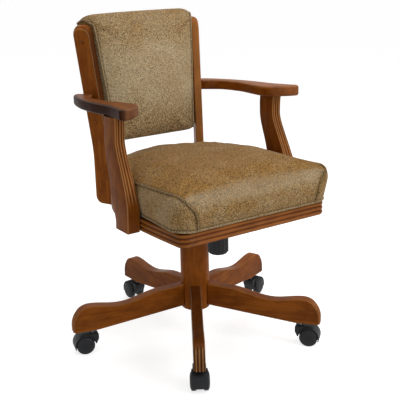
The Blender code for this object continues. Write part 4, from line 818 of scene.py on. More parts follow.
edge_points, edge_normals = seat_edge(SEAT_FRONT, SEAT_FRONT_HALF, SEAT_HALF, SEAT_REAR, SEAT_CORNER)
front_x = FRONT_JOINT_X - GAP / 2
front_path = [Vector((-front_x + 2 * front_x * i / 24, SEAT_FRONT)) for i in range(25)]
fit("seat_moulding_front", rail(front_path, [Vector((0.0, -1.0))] * 25, (1, 0, 0), 11), hardwood, "seat",
    "stained_hardwood", "seat_rail_front")
joint_angle = math.acos(REAR_JOINT_X / SEAT_HALF)
joint_y = SEAT_WIDEST_Y + (SEAT_REAR - SEAT_WIDEST_Y) * math.sin(joint_angle)
joint_normal = Vector((REAR_JOINT_X / SEAT_HALF ** 2,
                       (joint_y - SEAT_WIDEST_Y) / (SEAT_REAR - SEAT_WIDEST_Y) ** 2)).normalized()
step_back = Vector((-joint_normal.y, joint_normal.x)) * GAP / 2
joint = Vector((REAR_JOINT_X, joint_y))
side_path, side_normals = [Vector((FRONT_JOINT_X + GAP / 2, SEAT_FRONT))], [Vector((0.0, -1.0))]
rear_path, rear_normals = [joint + step_back], [joint_normal]
near_joint = 0.001
for p, n in zip(edge_points, edge_normals):
    past_front = p.x > FRONT_JOINT_X + near_joint or p.y > SEAT_FRONT + near_joint
    if past_front and p.y < joint_y - near_joint:
        side_path.append(p)
        side_normals.append(n)
    elif p.y > joint_y + near_joint:
        rear_path.append(p)
        rear_normals.append(n)
side_path.append(joint - step_back)
side_normals.append(joint_normal)
for word, side in (("right", -1), ("left", 1)):
    path = [Vector((side * p.x, p.y)) for p in side_path]
    normals = [Vector((side * n.x, n.y)) for n in side_normals]
    # The side rails are painted darker than the front and rear rails, as shade.
    fit(f"seat_moulding_{word}", rail(path, normals, (0, 1, 0), 12 + side, 0.18), hardwood, "seat",
        "stained_hardwood", f"seat_rail_{word}")
rear_path += [Vector((-p.x, p.y)) for p in reversed(rear_path[:-1])]
rear_normals += [Vector((-n.x, n.y)) for n in reversed(rear_normals[:-1])]
fit("seat_moulding_rear", rail(rear_path, rear_normals, (1, 0, 0), 14), hardwood, "seat",
    "stained_hardwood", "seat_rail_rear")

# Seat cushion: a foam block in chenille, stapled under the rail top.  The top runs over the front edge
# in one panel; side panels wrap round the front corners, and every seam is welted with covered cord.
CUSHION_BOTTOM = 0.4368
CUSHION_SIDE = 0.091
CUSHION_CROWN = 0.022
CUSHION_REAR_DROP = 0.012
CUSHION_FRONT = -0.310
CUSHION_FRONT_HALF = 0.244
CUSHION_HALF = 0.2375
CUSHION_REAR = 0.2415
CUSHION_CORNER = 0.040
CUSHION_SLACK = 0.0015
CUSHION_EDGE_SINK = 0.001
CUSHION_FRONT_ROLL = 0.004
CUSHION_VOXEL = 0.0055
CUSHION_CAP = 0.008
SEAM_HELD = 0.003
# The arm posts stand beside the cushion over this span; it may swell so far there and elsewhere.
POST_BAY = (-0.135, -0.020)
POST_BAY_HALF = 0.2418
CUSHION_WIDEST = 0.260
WELT_RADIUS = 0.0026
WELT_SPACING = 0.003
FOOT_WELT_PROUD = 0.0016
SIDE_WELT_PROUD = 0.0010
FOOT_SEAM_RISE = 0.0045
FOOT_SEAM_TUCK = 0.0042
TOP_SEAM_START = -0.04
TOP_SEAM_TUCK = 0.005
TOP_SEAM_DROP = 0.006

# Chenille: a cut pile of short tufts in four yarn shades, 1.4 mm apart, brushed in patches of about
# 77 mm.  A tint paint makes the pile browner and more speckled on some faces and greyer on others,
# partly for its lay and partly as painted shade; rolled edges get a painted greyish sheen, and the
# seams painted shade.
TUFT = 0.0014
BRUSHED_PATCH = 0.0769
SEAM_SHADE = 0.0052
chenille, tree, shader = new_finish("speckled chenille")
place = add(tree, "ShaderNodeTexCoord")
tufts = add(tree, "ShaderNodeTexVoronoi", {"Vector": place.outputs["Object"], "Scale": 1 / TUFT})
shade_of = add(tree, "ShaderNodeSeparateColor", {"Color": tufts.outputs["Color"]})
yarns = add(tree, "ShaderNodeValToRGB", {"Fac": shade_of.outputs[0]})
yarns.color_ramp.interpolation = "CONSTANT"
yarns.color_ramp.elements[0].color = linear("#241808")
yarns.color_ramp.elements[1].position = 0.27
yarns.color_ramp.elements[1].color = linear("#bdae92")
yarns.color_ramp.elements.new(0.50).color = linear("#efe6d2")
yarns.color_ramp.elements.new(0.75).color = linear("#ffffff")
# The tint paint: the pile's lay, partly painted shade.
tint_paint = add(tree, "ShaderNodeAttribute", attribute_name="nap")
drift = add(tree, "ShaderNodeTexNoise", {"Vector": place.outputs["Object"], "Scale": 1 / BRUSHED_PATCH,
                                         "Detail": 3.0, "Roughness": 0.6})
drifts = add(tree, "ShaderNodeMapRange", {"Value": drift.outputs["Fac"], "From Min": 0.38,
                                          "From Max": 0.64, "To Min": -0.16, "To Max": 0.16})
tinted_by = add(tree, "ShaderNodeMath", {0: tint_paint.outputs["Fac"], 1: drifts.outputs["Result"]},
                 operation="ADD", use_clamp=True)
tinted = add(tree, "ShaderNodeMix", {"Factor": tinted_by.outputs[0], "A": linear("#bdab8a"),
                                      "B": linear("#a07940")}, data_type="RGBA")
speck = add(tree, "ShaderNodeAttribute", attribute_name="speck")
speckled = add(tree, "ShaderNodeMix", {"Factor": speck.outputs["Fac"], "A": tinted.outputs["Result"],
                                       "B": yarns.outputs["Color"]},
               data_type="RGBA", blend_type="MULTIPLY")
edge_light = add(tree, "ShaderNodeAttribute", attribute_name="rolled")
light_by = add(tree, "ShaderNodeMath", {0: edge_light.outputs["Fac"], 1: 0.5}, operation="MULTIPLY")
lit = add(tree, "ShaderNodeMix", {"Factor": light_by.outputs[0], "A": speckled.outputs["Result"],
                                  "B": linear("#a39b86")}, data_type="RGBA")
# Painted shade beside the seams.
seam_shade_paint = add(tree, "ShaderNodeAttribute", attribute_name="seam")
seam_shade_by = add(tree, "ShaderNodeMath", {0: seam_shade_paint.outputs["Fac"], 1: 0.85}, operation="MULTIPLY")
shaded = add(tree, "ShaderNodeMix", {"Factor": seam_shade_by.outputs[0], "A": lit.outputs["Result"],
                                     "B": linear("#2a1d0e")}, data_type="RGBA")
pile = add(tree, "ShaderNodeBump", {"Height": tufts.outputs["Distance"], "Strength": 0.3,
                                    "Distance": 0.001}, invert=True)
tree.links.new(shaded.outputs["Result"], shader.inputs["Base Color"])
tree.links.new(pile.outputs["Normal"], shader.inputs["Normal"])
shader.inputs["Roughness"].default_value = 0.92
shader.inputs["Specular IOR Level"].default_value = 0.12
shader.inputs["Sheen Weight"].default_value = 0.08
shader.inputs["Sheen Roughness"].default_value = 0.4


def smooth_path(points, per_span):
    """Points of a Catmull-Rom curve that passes through the given ones."""
    count = len(points)
    out_points = []
    for i in range(count - 1):
        p0, p1, p2, p3 = (Vector(points[min(max(i + k, 0), count - 1)]) for k in (-1, 0, 1, 2))
        for s in range(per_span):
            t = s / per_span
            out_points.append(0.5 * (2 * p1 + (p2 - p0) * t + (2 * p0 - 5 * p1 + 4 * p2 - p3) * t * t
                                     + (3 * p1 - p0 - 3 * p2 + p3) * t * t * t))
    out_points.append(Vector(points[-1]))
    return out_points


def on_surface(points, mesh, lift):
    """Draw a path onto a mesh, a little proud of it."""
    tree_of = BVHTree.FromPolygons([v.co for v in mesh.vertices], [p.vertices for p in mesh.polygons])
    placed = []
    for point in points:
        spot, normal, _, _ = tree_of.find_nearest(Vector(point))
        placed.append(spot + normal * lift)
    return placed


def near(places, paths, reach):
    """How close each place is to the nearest path: 1 on it, falling to 0 well past the reach."""
    found = [p for path in paths for p in path]
    lookup = KDTree(len(found))
    for i, p in enumerate(found):
        lookup.insert(p, i)
    lookup.balance()
    gaps = np.array([lookup.find(p)[2] for p in places])
    return np.exp(-(gaps / reach) ** 2)


def swollen(mesh, voxel, cap, held, keep_in):
    """Foam under tight fabric: the cushion swells against its seams and what it rests on.

    Held says which points the seams and the board hold, cap how far the others may move, and keep_in
    brings back what would swell into the frame."""
    thing = bpy.data.objects.new("cushion", mesh)
    bpy.context.scene.collection.objects.link(thing)
    fine = thing.modifiers.new("fine", "REMESH")
    fine.mode = "VOXEL"
    fine.voxel_size = voxel
    graph = bpy.context.evaluated_depsgraph_get()
    thing.data = bpy.data.meshes.new_from_object(thing.evaluated_get(graph))
    thing.modifiers.clear()
    rest = places_of(thing.data)
    fixed = thing.vertex_groups.new(name="held")
    fixed.add([int(i) for i in np.nonzero(held(rest))[0]], 1.0, "REPLACE")
    cloth = thing.modifiers.new("swell", "CLOTH")
    cloth.settings.quality = 6
    cloth.settings.mass = 0.3
    cloth.settings.tension_stiffness = 15
    cloth.settings.compression_stiffness = 15
    cloth.settings.shear_stiffness = 5
    cloth.settings.bending_stiffness = 0.5
    cloth.settings.use_pressure = True
    cloth.settings.uniform_pressure_force = 4.0
    cloth.settings.vertex_group_mass = "held"
    cloth.settings.effector_weights.gravity = 0.0
    for step in range(1, 21):
        bpy.context.scene.frame_set(step)
    graph = bpy.context.evaluated_depsgraph_get()
    moved = places_of(thing.evaluated_get(graph).data) - rest
    length = np.maximum(np.linalg.norm(moved, axis=1, keepdims=True), 1e-9)
    moved *= np.minimum(1.0, cap / length)
    thing.modifiers.clear()
    thing.data.vertices.foreach_set("co", keep_in(rest + moved).ravel())
    bpy.context.scene.frame_set(1)
    divide = thing.modifiers.new("divide", "SUBSURF")
    divide.levels = 1
    divide.render_levels = 1
    graph = bpy.context.evaluated_depsgraph_get()
    made = bpy.data.meshes.new_from_object(thing.evaluated_get(graph))
    thing.modifiers.clear()
    bpy.data.objects.remove(thing, do_unlink=True)
    made.shade_smooth()
    return made


def rear_drop(y):
    """How far the cushion's edge falls towards the rear."""
    return CUSHION_REAR_DROP * swing((y - SEAT_WIDEST_Y) / (SEAT_REAR - SEAT_WIDEST_Y))


cushion_half, cushion_normals = seat_edge(CUSHION_FRONT, CUSHION_FRONT_HALF, CUSHION_HALF, CUSHION_REAR,
                                          CUSHION_CORNER)
outline = cushion_half + [Vector((-p.x, p.y)) for p in reversed(cushion_half[1:-1])]
facing = cushion_normals + [Vector((-n.x, n.y)) for n in reversed(cushion_normals[1:-1])]
# How far the side stands out from the rail, at shares of its height; the front corners are fuller above.
side_levels = smooth_path([(-0.010, 0.0), (-0.001, 0.12), (0.0036, 0.45), (0.0022, 0.75), (-0.006, 1.0)], 4)
corner_levels = smooth_path([(-0.013, 0.0), (-0.005, 0.12), (0.0014, 0.45), (0.0060, 0.75), (0.0008, 1.0)], 4)
rings = []
for (offset, share), (corner_offset, _) in zip(side_levels, corner_levels):
    ring_points = []
    for p, n in zip(outline, facing):
        front_roll = swing((-n.y - 0.5) / 0.4) * swing((share - 0.55) / 0.45)
        at_corner = swing((2 * abs(n.x) * max(-n.y, 0.0) - 0.25) / 0.5)
        reach = offset + (corner_offset - offset) * at_corner - CUSHION_SLACK
        reach -= CUSHION_FRONT_ROLL * front_roll * (1 - at_corner)
        y = p.y + n.y * reach
        height = (CUSHION_SIDE - rear_drop(y) - CUSHION_EDGE_SINK) * share
        ring_points.append((p.x + n.x * reach, y, CUSHION_BOTTOM + height))
    rings.append(ring_points)
# The crown, as the outline drawn in by shares and the share of the crown's rise reached there.
middle = Vector((0.0, (CUSHION_FRONT + SEAT_REAR) / 2))
for shrink, rise in ((0.90, 0.60), (0.81, 0.81), (0.72, 0.91), (0.56, 0.98), (0.40, 1.00), (0.12, 1.01)):
    ring_points = []
    for p in outline:
        x, y = middle + (p - middle) * shrink
        top = CUSHION_BOTTOM + CUSHION_SIDE - 0.7 * rear_drop(y) - CUSHION_EDGE_SINK + CUSHION_CROWN * rise
        ring_points.append((x, y, top))
    rings.append(ring_points)
cushion_start = outward(skin(rings), 180)

foot_path = [Vector((p.x - n.x * FOOT_SEAM_TUCK, p.y - n.y * FOOT_SEAM_TUCK, CUSHION_BOTTOM + FOOT_SEAM_RISE))
             for p, n in zip(outline, facing)]
foot_seam = on_surface(foot_path, cushion_start, 0.0)
# The side seams climb the front face, turn over the front corner and run back under the top's edge.
side_seams = []
for side in (-1, 1):
    over_front = [(side * x, y, z) for x, y, z in (
        (0.1862, -0.3050, 0.4413), (0.1865, -0.3070, 0.4475), (0.1930, -0.3122, 0.4811),
        (0.2020, -0.3099, 0.5006), (0.2208, -0.3061, 0.5211), (0.2302, -0.2725, 0.5310),
        (0.2315, -0.2238, 0.5281), (0.2318, -0.1545, 0.5247), (0.2323, -0.0819, 0.5214))]
    along_top = []
    for p, n in zip(cushion_half[26::3], cushion_normals[26::3]):
        if p.y > TOP_SEAM_START:
            top = CUSHION_BOTTOM + CUSHION_SIDE - TOP_SEAM_DROP - rear_drop(p.y)
            along_top.append((side * (p.x - n.x * TOP_SEAM_TUCK), p.y - n.y * TOP_SEAM_TUCK, top))
    side_seams.append(on_surface(smooth_path(over_front + along_top, 8), cushion_start, 0.0))


def seat_held(places):
    """Points on the seat board or in a seam."""
    sewn_in = near(places, [foot_seam, *side_seams], SEAM_HELD) > 0.3
    return (places[:, 2] < CUSHION_BOTTOM + SEAM_HELD) | sewn_in


def seat_room(places):
    """Keep the cushion above the board and clear of the arm posts."""
    places[:, 2] = np.maximum(places[:, 2], CUSHION_BOTTOM)
    beside = (places[:, 1] > POST_BAY[0]) & (places[:, 1] < POST_BAY[1])
    limit = np.where(beside, POST_BAY_HALF, CUSHION_WIDEST)
    places[:, 0] = np.clip(places[:, 0], -limit, limit)
    return places


cushion = swollen(cushion_start, CUSHION_VOXEL, CUSHION_CAP, seat_held, seat_room)


def normals_of(mesh):
    """Which way a mesh faces at its points, a row for each."""
    normals = np.zeros(len(mesh.vertices) * 3, np.float32)
    mesh.vertex_normals.foreach_get("vector", normals)
    return normals.reshape(-1, 3)


def nap_of(mesh, paths, rolled, tinted_to, speckled_to):
    """Paint the pile: a tint and speck strength set by rules, partly its lay and partly painted shade, a
    painted sheen where the light catches, and painted shade beside the seams.
    """
    places, normals = places_of(mesh), normals_of(mesh)
    paint(mesh, nap=tinted_to(places, normals), rolled=rolled(places, normals),
          speck=speckled_to(places, normals), seam=near(places, paths, SEAM_SHADE))


def soft_step(values, low, high):
    """From 0 at low to 1 at high, with a level start and end."""
    t = np.clip((values - low) / (high - low), 0.0, 1.0)
    return t * t * (3 - 2 * t)


# A painted sheen on the roll over the front edge; the pile is tinted browner and its specks are strongest on
# faces that look up, for its lay and as painted shade.
nap_of(cushion, [foot_seam, *side_seams],
       lambda p, n: (0.58 * soft_step(-n[:, 1], 0.12, 0.7) * soft_step(n[:, 2], 0.0, 0.6)
                     * soft_step(-n[:, 2], -0.995, -0.7)),
       lambda p, n: 0.58 + 0.07 * soft_step(-n[:, 1], 0.3, 0.8) + 0.4 * soft_step(n[:, 2], 0.45, 0.92),
       lambda p, n: 0.72 + 0.1 * soft_step(-n[:, 1], 0.3, 0.8) + 0.19 * soft_step(n[:, 2], 0.45, 0.92))
fit("seat_cushion_cover", cushion, chenille, "seat", "chenille", "seat_cushion")


def welt(name, path, mesh, lift, radius, cord_sheen, closed=False):
    """Covered cord sewn into a seam, with a painted sheen, and painted shade where its sheen is weak."""
    made = cord(on_surface(path, mesh, lift), radius, WELT_SPACING, 12, chenille, closed)
    paint(made, nap=0.6 - 0.5 * cord_sheen, rolled=cord_sheen, speck=0.85, seam=max(0.3 - cord_sheen, 0.0))
    return fit(name, made, chenille, "seat", "chenille")


welt("seat_welt_foot", foot_seam, cushion, FOOT_WELT_PROUD, WELT_RADIUS * 1.2, 0.22, True)
for word, seam in zip(("right", "left"), side_seams):
    welt(f"seat_welt_{word}", seam, cushion, SIDE_WELT_PROUD, WELT_RADIUS, 0.0)

# Arm posts: scroll-sawn S shapes of hardwood, screwed to the side rails, with three reeds worked down
# the front face that run out above a square foot.
ARM_THICKNESS = 0.029
ARM_FRONT_TOP = 0.722
ARM_REAR_TOP = 0.7015
ARM_FRONT_Y = -0.134
ARM_REAR_Y = 0.269
POST_INNER = 0.2428
POST_THICKNESS = 0.036
POST_TOP_THICKNESS = 0.029
POST_LEAN = 0.0045
POST_FOOT = -0.123
POST_DEPTH = 0.066
POST_SWEEP = 0.062
POST_EASE = 0.003
POST_REEDS = 3
POST_REED_RISE = 0.0022
POST_REED_START = 0.470
POST_REED_RUNOUT = 0.02
POST_LEVELS = 72
POST_FACE_STEPS = 30
POST_STAIN = 0.20


def arm_top(y):
    """Height of an arm's top, which falls towards the stiles."""
    return ARM_FRONT_TOP + (ARM_REAR_TOP - ARM_FRONT_TOP) * (y - ARM_FRONT_Y) / (ARM_REAR_Y - ARM_FRONT_Y)


def edge_at(curve, z):
    """Depthwise place of a sawn edge at a height."""
    for low, high in zip(curve, curve[1:]):
        if z < high.y:
            return low.x + (high.x - low.x) * max(z - low.y, 0.0) / (high.y - low.y)
    return curve[-1].x


post_top = ARM_FRONT_TOP - ARM_THICKNESS
rise = post_top - RAIL_BOTTOM
# The sawn edges of a post, in shares of its sweep and of its height.
post_front = smooth_path([(POST_FOOT + POST_SWEEP * u, RAIL_BOTTOM + rise * s) for u, s in (
    (0.0, 0.0), (-0.03, 0.25), (0.355, 0.46), (0.95, 0.73), (1.0, 0.87), (0.935, 1.0))], 10)
post_rear = smooth_path([(POST_FOOT + POST_DEPTH + POST_SWEEP * u, RAIL_BOTTOM + rise * s) for u, s in (
    (0.0, 0.0), (0.0, 0.10), (0.275, 0.26), (0.55, 0.46), (0.90, 0.70), (0.935, 0.86), (0.89, 1.0))], 10)
for word, side in (("right", -1), ("left", 1)):
    rings, lies, marks, stain_and_shade = [], [], [], []
    for level in range(POST_LEVELS + 1):
        share = level / POST_LEVELS
        z = RAIL_BOTTOM + rise * share
        inner = POST_INNER - POST_LEAN * swing((share - 0.50) / 0.40)
        thick = POST_THICKNESS + (POST_TOP_THICKNESS - POST_THICKNESS) * swing((share - 0.15) / 0.45)
        outer = inner + thick
        front, rear = edge_at(post_front, z), edge_at(post_rear, z)
        reed = POST_REED_RISE * swing((z - POST_REED_START) / POST_REED_RUNOUT)
        outline_points = []
        for i in range(POST_FACE_STEPS + 1):
            u = i / POST_FACE_STEPS
            groove = 1 - abs(math.sin(math.pi * POST_REEDS * u))
            # Reed crowns get a painted highlight; the grooves get pooled stain and painted shade.
            crown = (1 - groove) ** 6 * reed / POST_REED_RISE
            pooled_and_shaded = 0.45 * groove ** 1.5 * reed / POST_REED_RISE
            x = inner + POST_EASE + (thick - 2 * POST_EASE) * u
            outline_points.append((x, front + reed * groove, crown, pooled_and_shaded))
        left, right = inner + POST_EASE, outer - POST_EASE
        for corner_x, corner_y, first in ((right, front + POST_EASE, -90), (right, rear - POST_EASE, 0),
                                          (left, rear - POST_EASE, 90), (left, front + POST_EASE, 180)):
            at_front = reed * 0.4 / POST_EASE if first in (-90, 180) else 0.0
            for i, (x, y) in enumerate(arc((corner_x, corner_y), POST_EASE, first, first + 90, 4)):
                outline_points.append((x, y + at_front * abs(y - corner_y), float(0 < i < 4), 0.0))
        ring_points = []
        for x, y, mark, pooled_and_shaded in outline_points:
            ring_points.append((side * x, y, z if level < POST_LEVELS else arm_top(y) - ARM_THICKNESS - GAP))
            lies.append((z, x, y))
            marks.append(mark)
            stain_and_shade.append(POST_STAIN + pooled_and_shaded)
        rings.append(ring_points)
    mesh = skin(rings)
    paint(mesh, grain=np.array(lies) + np.array(GRAIN_STEP) * (17 + side), eased=marks, tone=stain_and_shade)
    fit(f"arm_support_{word}", outward(mesh, 40), hardwood, "seat", "stained_hardwood", f"arm_post_{word}")

# Arms: flat hardwood paddles, broad at the hand and slim at the waist, rounded over all round and
# screwed to the posts and the stiles.  Hands have rubbed their lacquer dull, and a painted pale sheen
# lies on their tops and noses.
ARM_EASE = 0.0065
ARM_HAND_WIDTH = 0.073
ARM_NOSE_INNER = 0.009
ARM_NOSE_OUTER = 0.012
STILE_TURN = math.radians(25)
STILE_OUTER = 0.071
STILE_DEPTH = 0.057
STILE_FRONT_REACH = 0.236
STILE_BEND_Z = 0.535
STILE_RAKE = 0.142


def stile_point(side, reach, offset, z=0.0):
    """Place of a point given along and across a stile's board."""
    x = offset * math.cos(STILE_TURN) + reach * math.sin(STILE_TURN)
    y = -offset * math.sin(STILE_TURN) + reach * math.cos(STILE_TURN)
    return Vector((side * x, y, z))


def stile_reach(z):
    """How far back a stile's front edge lies at a height: it rakes above the bend."""
    return STILE_FRONT_REACH + STILE_RAKE * max(z - STILE_BEND_Z, 0.0)


touch = stile_reach(arm_top(ARM_REAR_Y) - ARM_THICKNESS)
flat_start = stile_point(1, touch + STILE_DEPTH * 0.45, STILE_OUTER + GAP).to_2d()
flat_end = stile_point(1, touch + STILE_DEPTH * 0.95, STILE_OUTER + GAP).to_2d()
outer_x = SEAT_HALF + POST_THICKNESS
long = ARM_REAR_Y - ARM_FRONT_Y
# Outline in shares of the hand's width, from the post's outer face, and of the arm's length.
arm_outer = [(0.096, 0.040), (-0.014, 0.124), (-0.116, 0.258), (-0.116, 0.422), (-0.130, 0.529),
             (-0.253, 0.725), (-0.562, 0.931), (-0.753, 0.988), (-0.918, 1.0)]
arm_inner = [(-0.767, 0.742), (-0.705, 0.581), (-0.740, 0.481), (-0.904, 0.333), (-1.0, 0.221),
             (-0.993, 0.164), (-0.822, 0.104), (-0.452, 0.035), (-0.055, 0.0)]
arm_outer = [(outer_x + ARM_HAND_WIDTH * u, ARM_FRONT_Y + long * v) for u, v in arm_outer]
arm_inner = [(outer_x + ARM_HAND_WIDTH * u, ARM_FRONT_Y + long * v) for u, v in arm_inner]
arm_inner.insert(0, (flat_start.x + ARM_HAND_WIDTH * 0.247, flat_start.y - long * 0.0645))
arm_outer, arm_inner = smooth_path(arm_outer, 6), smooth_path(arm_inner, 6)
nose = fillet(arm_inner[-3], arm_inner[-1], arm_outer[0], ARM_NOSE_INNER, 8)
nose += fillet(arm_inner[-1], arm_outer[0], arm_outer[2], ARM_NOSE_OUTER, 6)
arm_outline = arm_outer[2:] + [flat_end, flat_start] + arm_inner[:-2] + nose

# The hardwood with its lacquer rubbed dull; its paler paint is greyish, not amber, for worn edges and a
# painted sheen.
dull_hardwood_with_sheen = hardwood.copy()
dull_hardwood_with_sheen.name = "stained hardwood, lacquer rubbed dull"
shader = dull_hardwood_with_sheen.node_tree.nodes["Principled BSDF"]
shader.inputs["Specular IOR Level"].default_value = 0.014
shader.inputs["Coat Weight"].default_value = 0.0
dull_hardwood_with_sheen.node_tree.nodes[rubbed.name].inputs["B"].default_value = linear("#b39a86")
for word, side in (("right", -1), ("left", 1)):
    # The near arm, and the outer faces of both arms, are painted darker as shade.
    mesh = board(lambda across: arm_outline, lambda u, v, a: (side * u, v, arm_top(v) - ARM_THICKNESS + a),
                 0.0, ARM_THICKNESS, ARM_EASE, 3, lambda i, share, normal: (0.0, 0.0),
                 lambda u, v, a: (v, u, a), 21 + side,
                 lambda normal, inset: 0.20 - 0.20 * side if inset > ARM_EASE * 0.7
                 else 0.25 - 0.21 * side + 0.5 * max(normal[0], 0.0))
    normals = normals_of(mesh)
    # A painted sheen on faces that look up and to the front, over the thin stain on eased edges.
    sheen_on_top_and_nose = (0.16 + 0.06 * side) * soft_step(normals[:, 2], 0.5, 0.9)
    sheen_on_top_and_nose += 0.18 * soft_step(-normals[:, 1], 0.4, 0.8)
    paint(mesh, eased=(0.37 + 0.08 * side) * painted(mesh, "eased") + sheen_on_top_and_nose)
    fit(f"arm_rest_{word}", mesh, dull_hardwood_with_sheen, "seat", "stained_hardwood", f"arm_{word}")

# Back stiles: flat hardwood boards on the slant behind the seat, raked above it, rounded at both ends
# and screwed to the rail; domed plugs cover the screws.
STILE_BOTTOM = 0.379
STILE_TOP = 0.893
STILE_THICKNESS = 0.023
STILE_BEND = 0.03
STILE_END = 0.022
STILE_EASE = 0.0035
STILE_ROUND = 0.015
STILE_CHAMFER = 0.007
STILE_STATIONS = (0.65, 0.75)
PLUG_RADIUS = 0.0055
PLUG_DOME = 0.003
PLUG_HEIGHTS = (0.623, 0.846)


def rim_reach(offset):
    """Reach at which a stile's front edge meets the seat rail."""
    wide = SEAT_HALF + BEAD_BULGE + GAP
    deep = SEAT_REAR - SEAT_WIDEST_Y + BEAD_BULGE + GAP
    low, high = 0.10, 0.40
    for _ in range(40):
        halfway = (low + high) / 2
        point = stile_point(1, halfway, offset)
        inside = (point.x / wide) ** 2 + ((point.y - SEAT_WIDEST_Y) / deep) ** 2 < 1.0
        low, high = (halfway, high) if inside else (low, halfway)
    return high


def stile_section(offset):
    """Side outline of a stile: the foot meets the rail, both ends are rounded."""
    foot_front = rim_reach(offset)
    rear = STILE_FRONT_REACH + STILE_DEPTH
    over = max(offset - STILE_OUTER + STILE_ROUND, 0.0)
    top = STILE_TOP - STILE_ROUND + math.sqrt(max(STILE_ROUND ** 2 - over ** 2, 0.0))
    points = arc((rear - STILE_END, STILE_BOTTOM + STILE_END), STILE_END, -90, 0, 8)
    bend = [STILE_BEND_Z - STILE_BEND + STILE_BEND * i / 3 for i in range(7)]
    leant = [STILE_RAKE * (z - STILE_BEND_Z + STILE_BEND) ** 2 / (4 * STILE_BEND) for z in bend]
    points += [(rear + lean, z) for lean, z in zip(leant, bend)]
    points += [(stile_reach(z) + STILE_DEPTH, z) for z in STILE_STATIONS]
    for i in range(9):
        angle = math.pi / 2 * i / 8
        lean = STILE_RAKE * STILE_END * (1 - math.sin(angle))
        points.append((stile_reach(top) + STILE_DEPTH - STILE_END * (1 - math.cos(angle)) - lean,
                       top - STILE_END * (1 - math.sin(angle))))
    for i in range(9):
        angle = math.pi / 2 * i / 8
        lean = STILE_RAKE * STILE_END * (1 - math.cos(angle))
        points.append((stile_reach(top) + STILE_END * (1 - math.sin(angle)) - lean,
                       top - STILE_END * (1 - math.cos(angle))))
    points += [(stile_reach(z), z) for z in reversed(STILE_STATIONS)]
    points += [(STILE_FRONT_REACH + lean, z) for lean, z in zip(reversed(leant), reversed(bend))]
    points.append((max(STILE_FRONT_REACH, foot_front), RAIL_TOP + STILE_END))
    return points + [(foot_front, RAIL_TOP), (foot_front, STILE_BOTTOM + STILE_CHAMFER),
                     (foot_front + STILE_CHAMFER, STILE_BOTTOM)]


stile_inner = STILE_OUTER - STILE_THICKNESS
studs, given, out = geometry_tree("plugs over screws", (
    ("Places", "NodeSocketGeometry"), ("Plug Radius", "NodeSocketFloat"),
    ("Plug Height", "NodeSocketFloat"), ("Finish", "NodeSocketMaterial")))
ball = add(studs, "GeometryNodeMeshUVSphere", {"Segments": 28, "Rings": 14, "Radius": 1.0})
flat = add(studs, "ShaderNodeCombineXYZ", {"X": given.outputs["Plug Radius"],
                                           "Y": given.outputs["Plug Radius"],
                                           "Z": given.outputs["Plug Height"]})
facing_out = add(studs, "GeometryNodeInputNamedAttribute", {"Name": "facing"}, data_type="FLOAT_VECTOR")
aim = add(studs, "FunctionNodeAlignRotationToVector", {"Vector": facing_out.outputs[0]}, axis="Z")
domes = add(studs, "GeometryNodeInstanceOnPoints", {"Points": given.outputs["Places"],
                                                    "Instance": ball.outputs["Mesh"],
                                                    "Rotation": aim.outputs[0], "Scale": flat.outputs[0]})
finish_tree(studs, given, out, domes.outputs[0])
for word, side in (("right", -1), ("left", 1)):
    # Of each stile's front and rear edges, one is painted paler as a highlight and the other darker as shade.
    mesh = board(stile_section, lambda u, v, a: tuple(stile_point(side, u, a, v)), stile_inner, STILE_OUTER,
                 STILE_EASE, 10, lambda i, share, normal: (0.0, 0.5 * max(-normal[0] * side, 0.0)),
                 lambda u, v, a: (v, u, a), 25 + side,
                 lambda normal, inset: 0.75 * max(normal[0] * side, 0.0) * (inset < STILE_EASE * 0.7))
    fit(f"back_stile_board_{word}", mesh, hardwood, "seat", "stained_hardwood", f"back_stile_{word}")
    spots = bpy.data.meshes.new("plug places")
    spots.from_pydata([tuple(stile_point(side, stile_reach(z) + STILE_DEPTH / 2, STILE_OUTER, z))
                       for z in PLUG_HEIGHTS], [], [])
    facing_to = Vector((side * math.cos(STILE_TURN), -math.sin(STILE_TURN), 0.0))
    paint(spots, facing=[tuple(facing_to)] * len(PLUG_HEIGHTS))
    plugs = grown(spots, studs, plug_radius=PLUG_RADIUS, plug_height=PLUG_DOME, finish=hardwood)
    lay_grain(plugs, facing_to, (0, 0, 1), 30 + side)
    height = np.array([(v.co - stile_point(side, 0.0, STILE_OUTER)).dot(facing_to) for v in plugs.vertices])
    # A dark painted ring of shade at the foot of each dome.
    paint(plugs, tone=0.9 - 0.8 * (height > PLUG_DOME * 0.5))
    fit(f"stile_plug_domes_{word}", outward(plugs, 60, 0.0), hardwood, "seat", "stained_hardwood",
        f"stile_plug_{word}_lower", f"stile_plug_{word}_upper")

# Back: foam and chenille over a plywood board between the stiles.  The cover rolls over the top edge,
# welts run down both sides, and a flat covered panel closes the rear.
BACK_BOTTOM = 0.561
BACK_TOP = 0.922
BACK_FORWARD = 0.022
BACK_CROWN = 0.016
BACK_BOARD_SET = 0.014
BACK_ROLL = 0.886
BACK_ROLL_REACH = 0.006
BACK_FOOT_TUCK = 0.010
BACK_VOXEL = 0.005
BACK_SLACK = 0.003
BACK_CAP = 0.007
BACK_EDGE_FROM = 0.78
BACK_EDGE_DEEP = 0.0205
BACK_EDGE_DROP = 0.019
BACK_SEAM = 0.992
BACK_TOUCH = 0.002
BACK_GRIP = 0.004
BACK_ROLL_HELD = 0.006
BACK_RISE = 0.003
BACK_WELT_PROUD = 0.0012


def between_stiles(y):
    """Half the room between the stiles, which stand on the slant."""
    return (stile_inner + y * math.sin(STILE_TURN)) / math.cos(STILE_TURN) - GAP / math.cos(STILE_TURN)


def back_front(z):
    """Depthwise place of the stiles' inner front corners at a height."""
    return stile_point(1, stile_reach(z), stile_inner).y


back_height = BACK_TOP - BACK_BOTTOM
stile_deep = STILE_DEPTH * math.cos(STILE_TURN)
roll_rear = stile_deep + BACK_ROLL_REACH
board_near = BACK_BOARD_SET - GAP
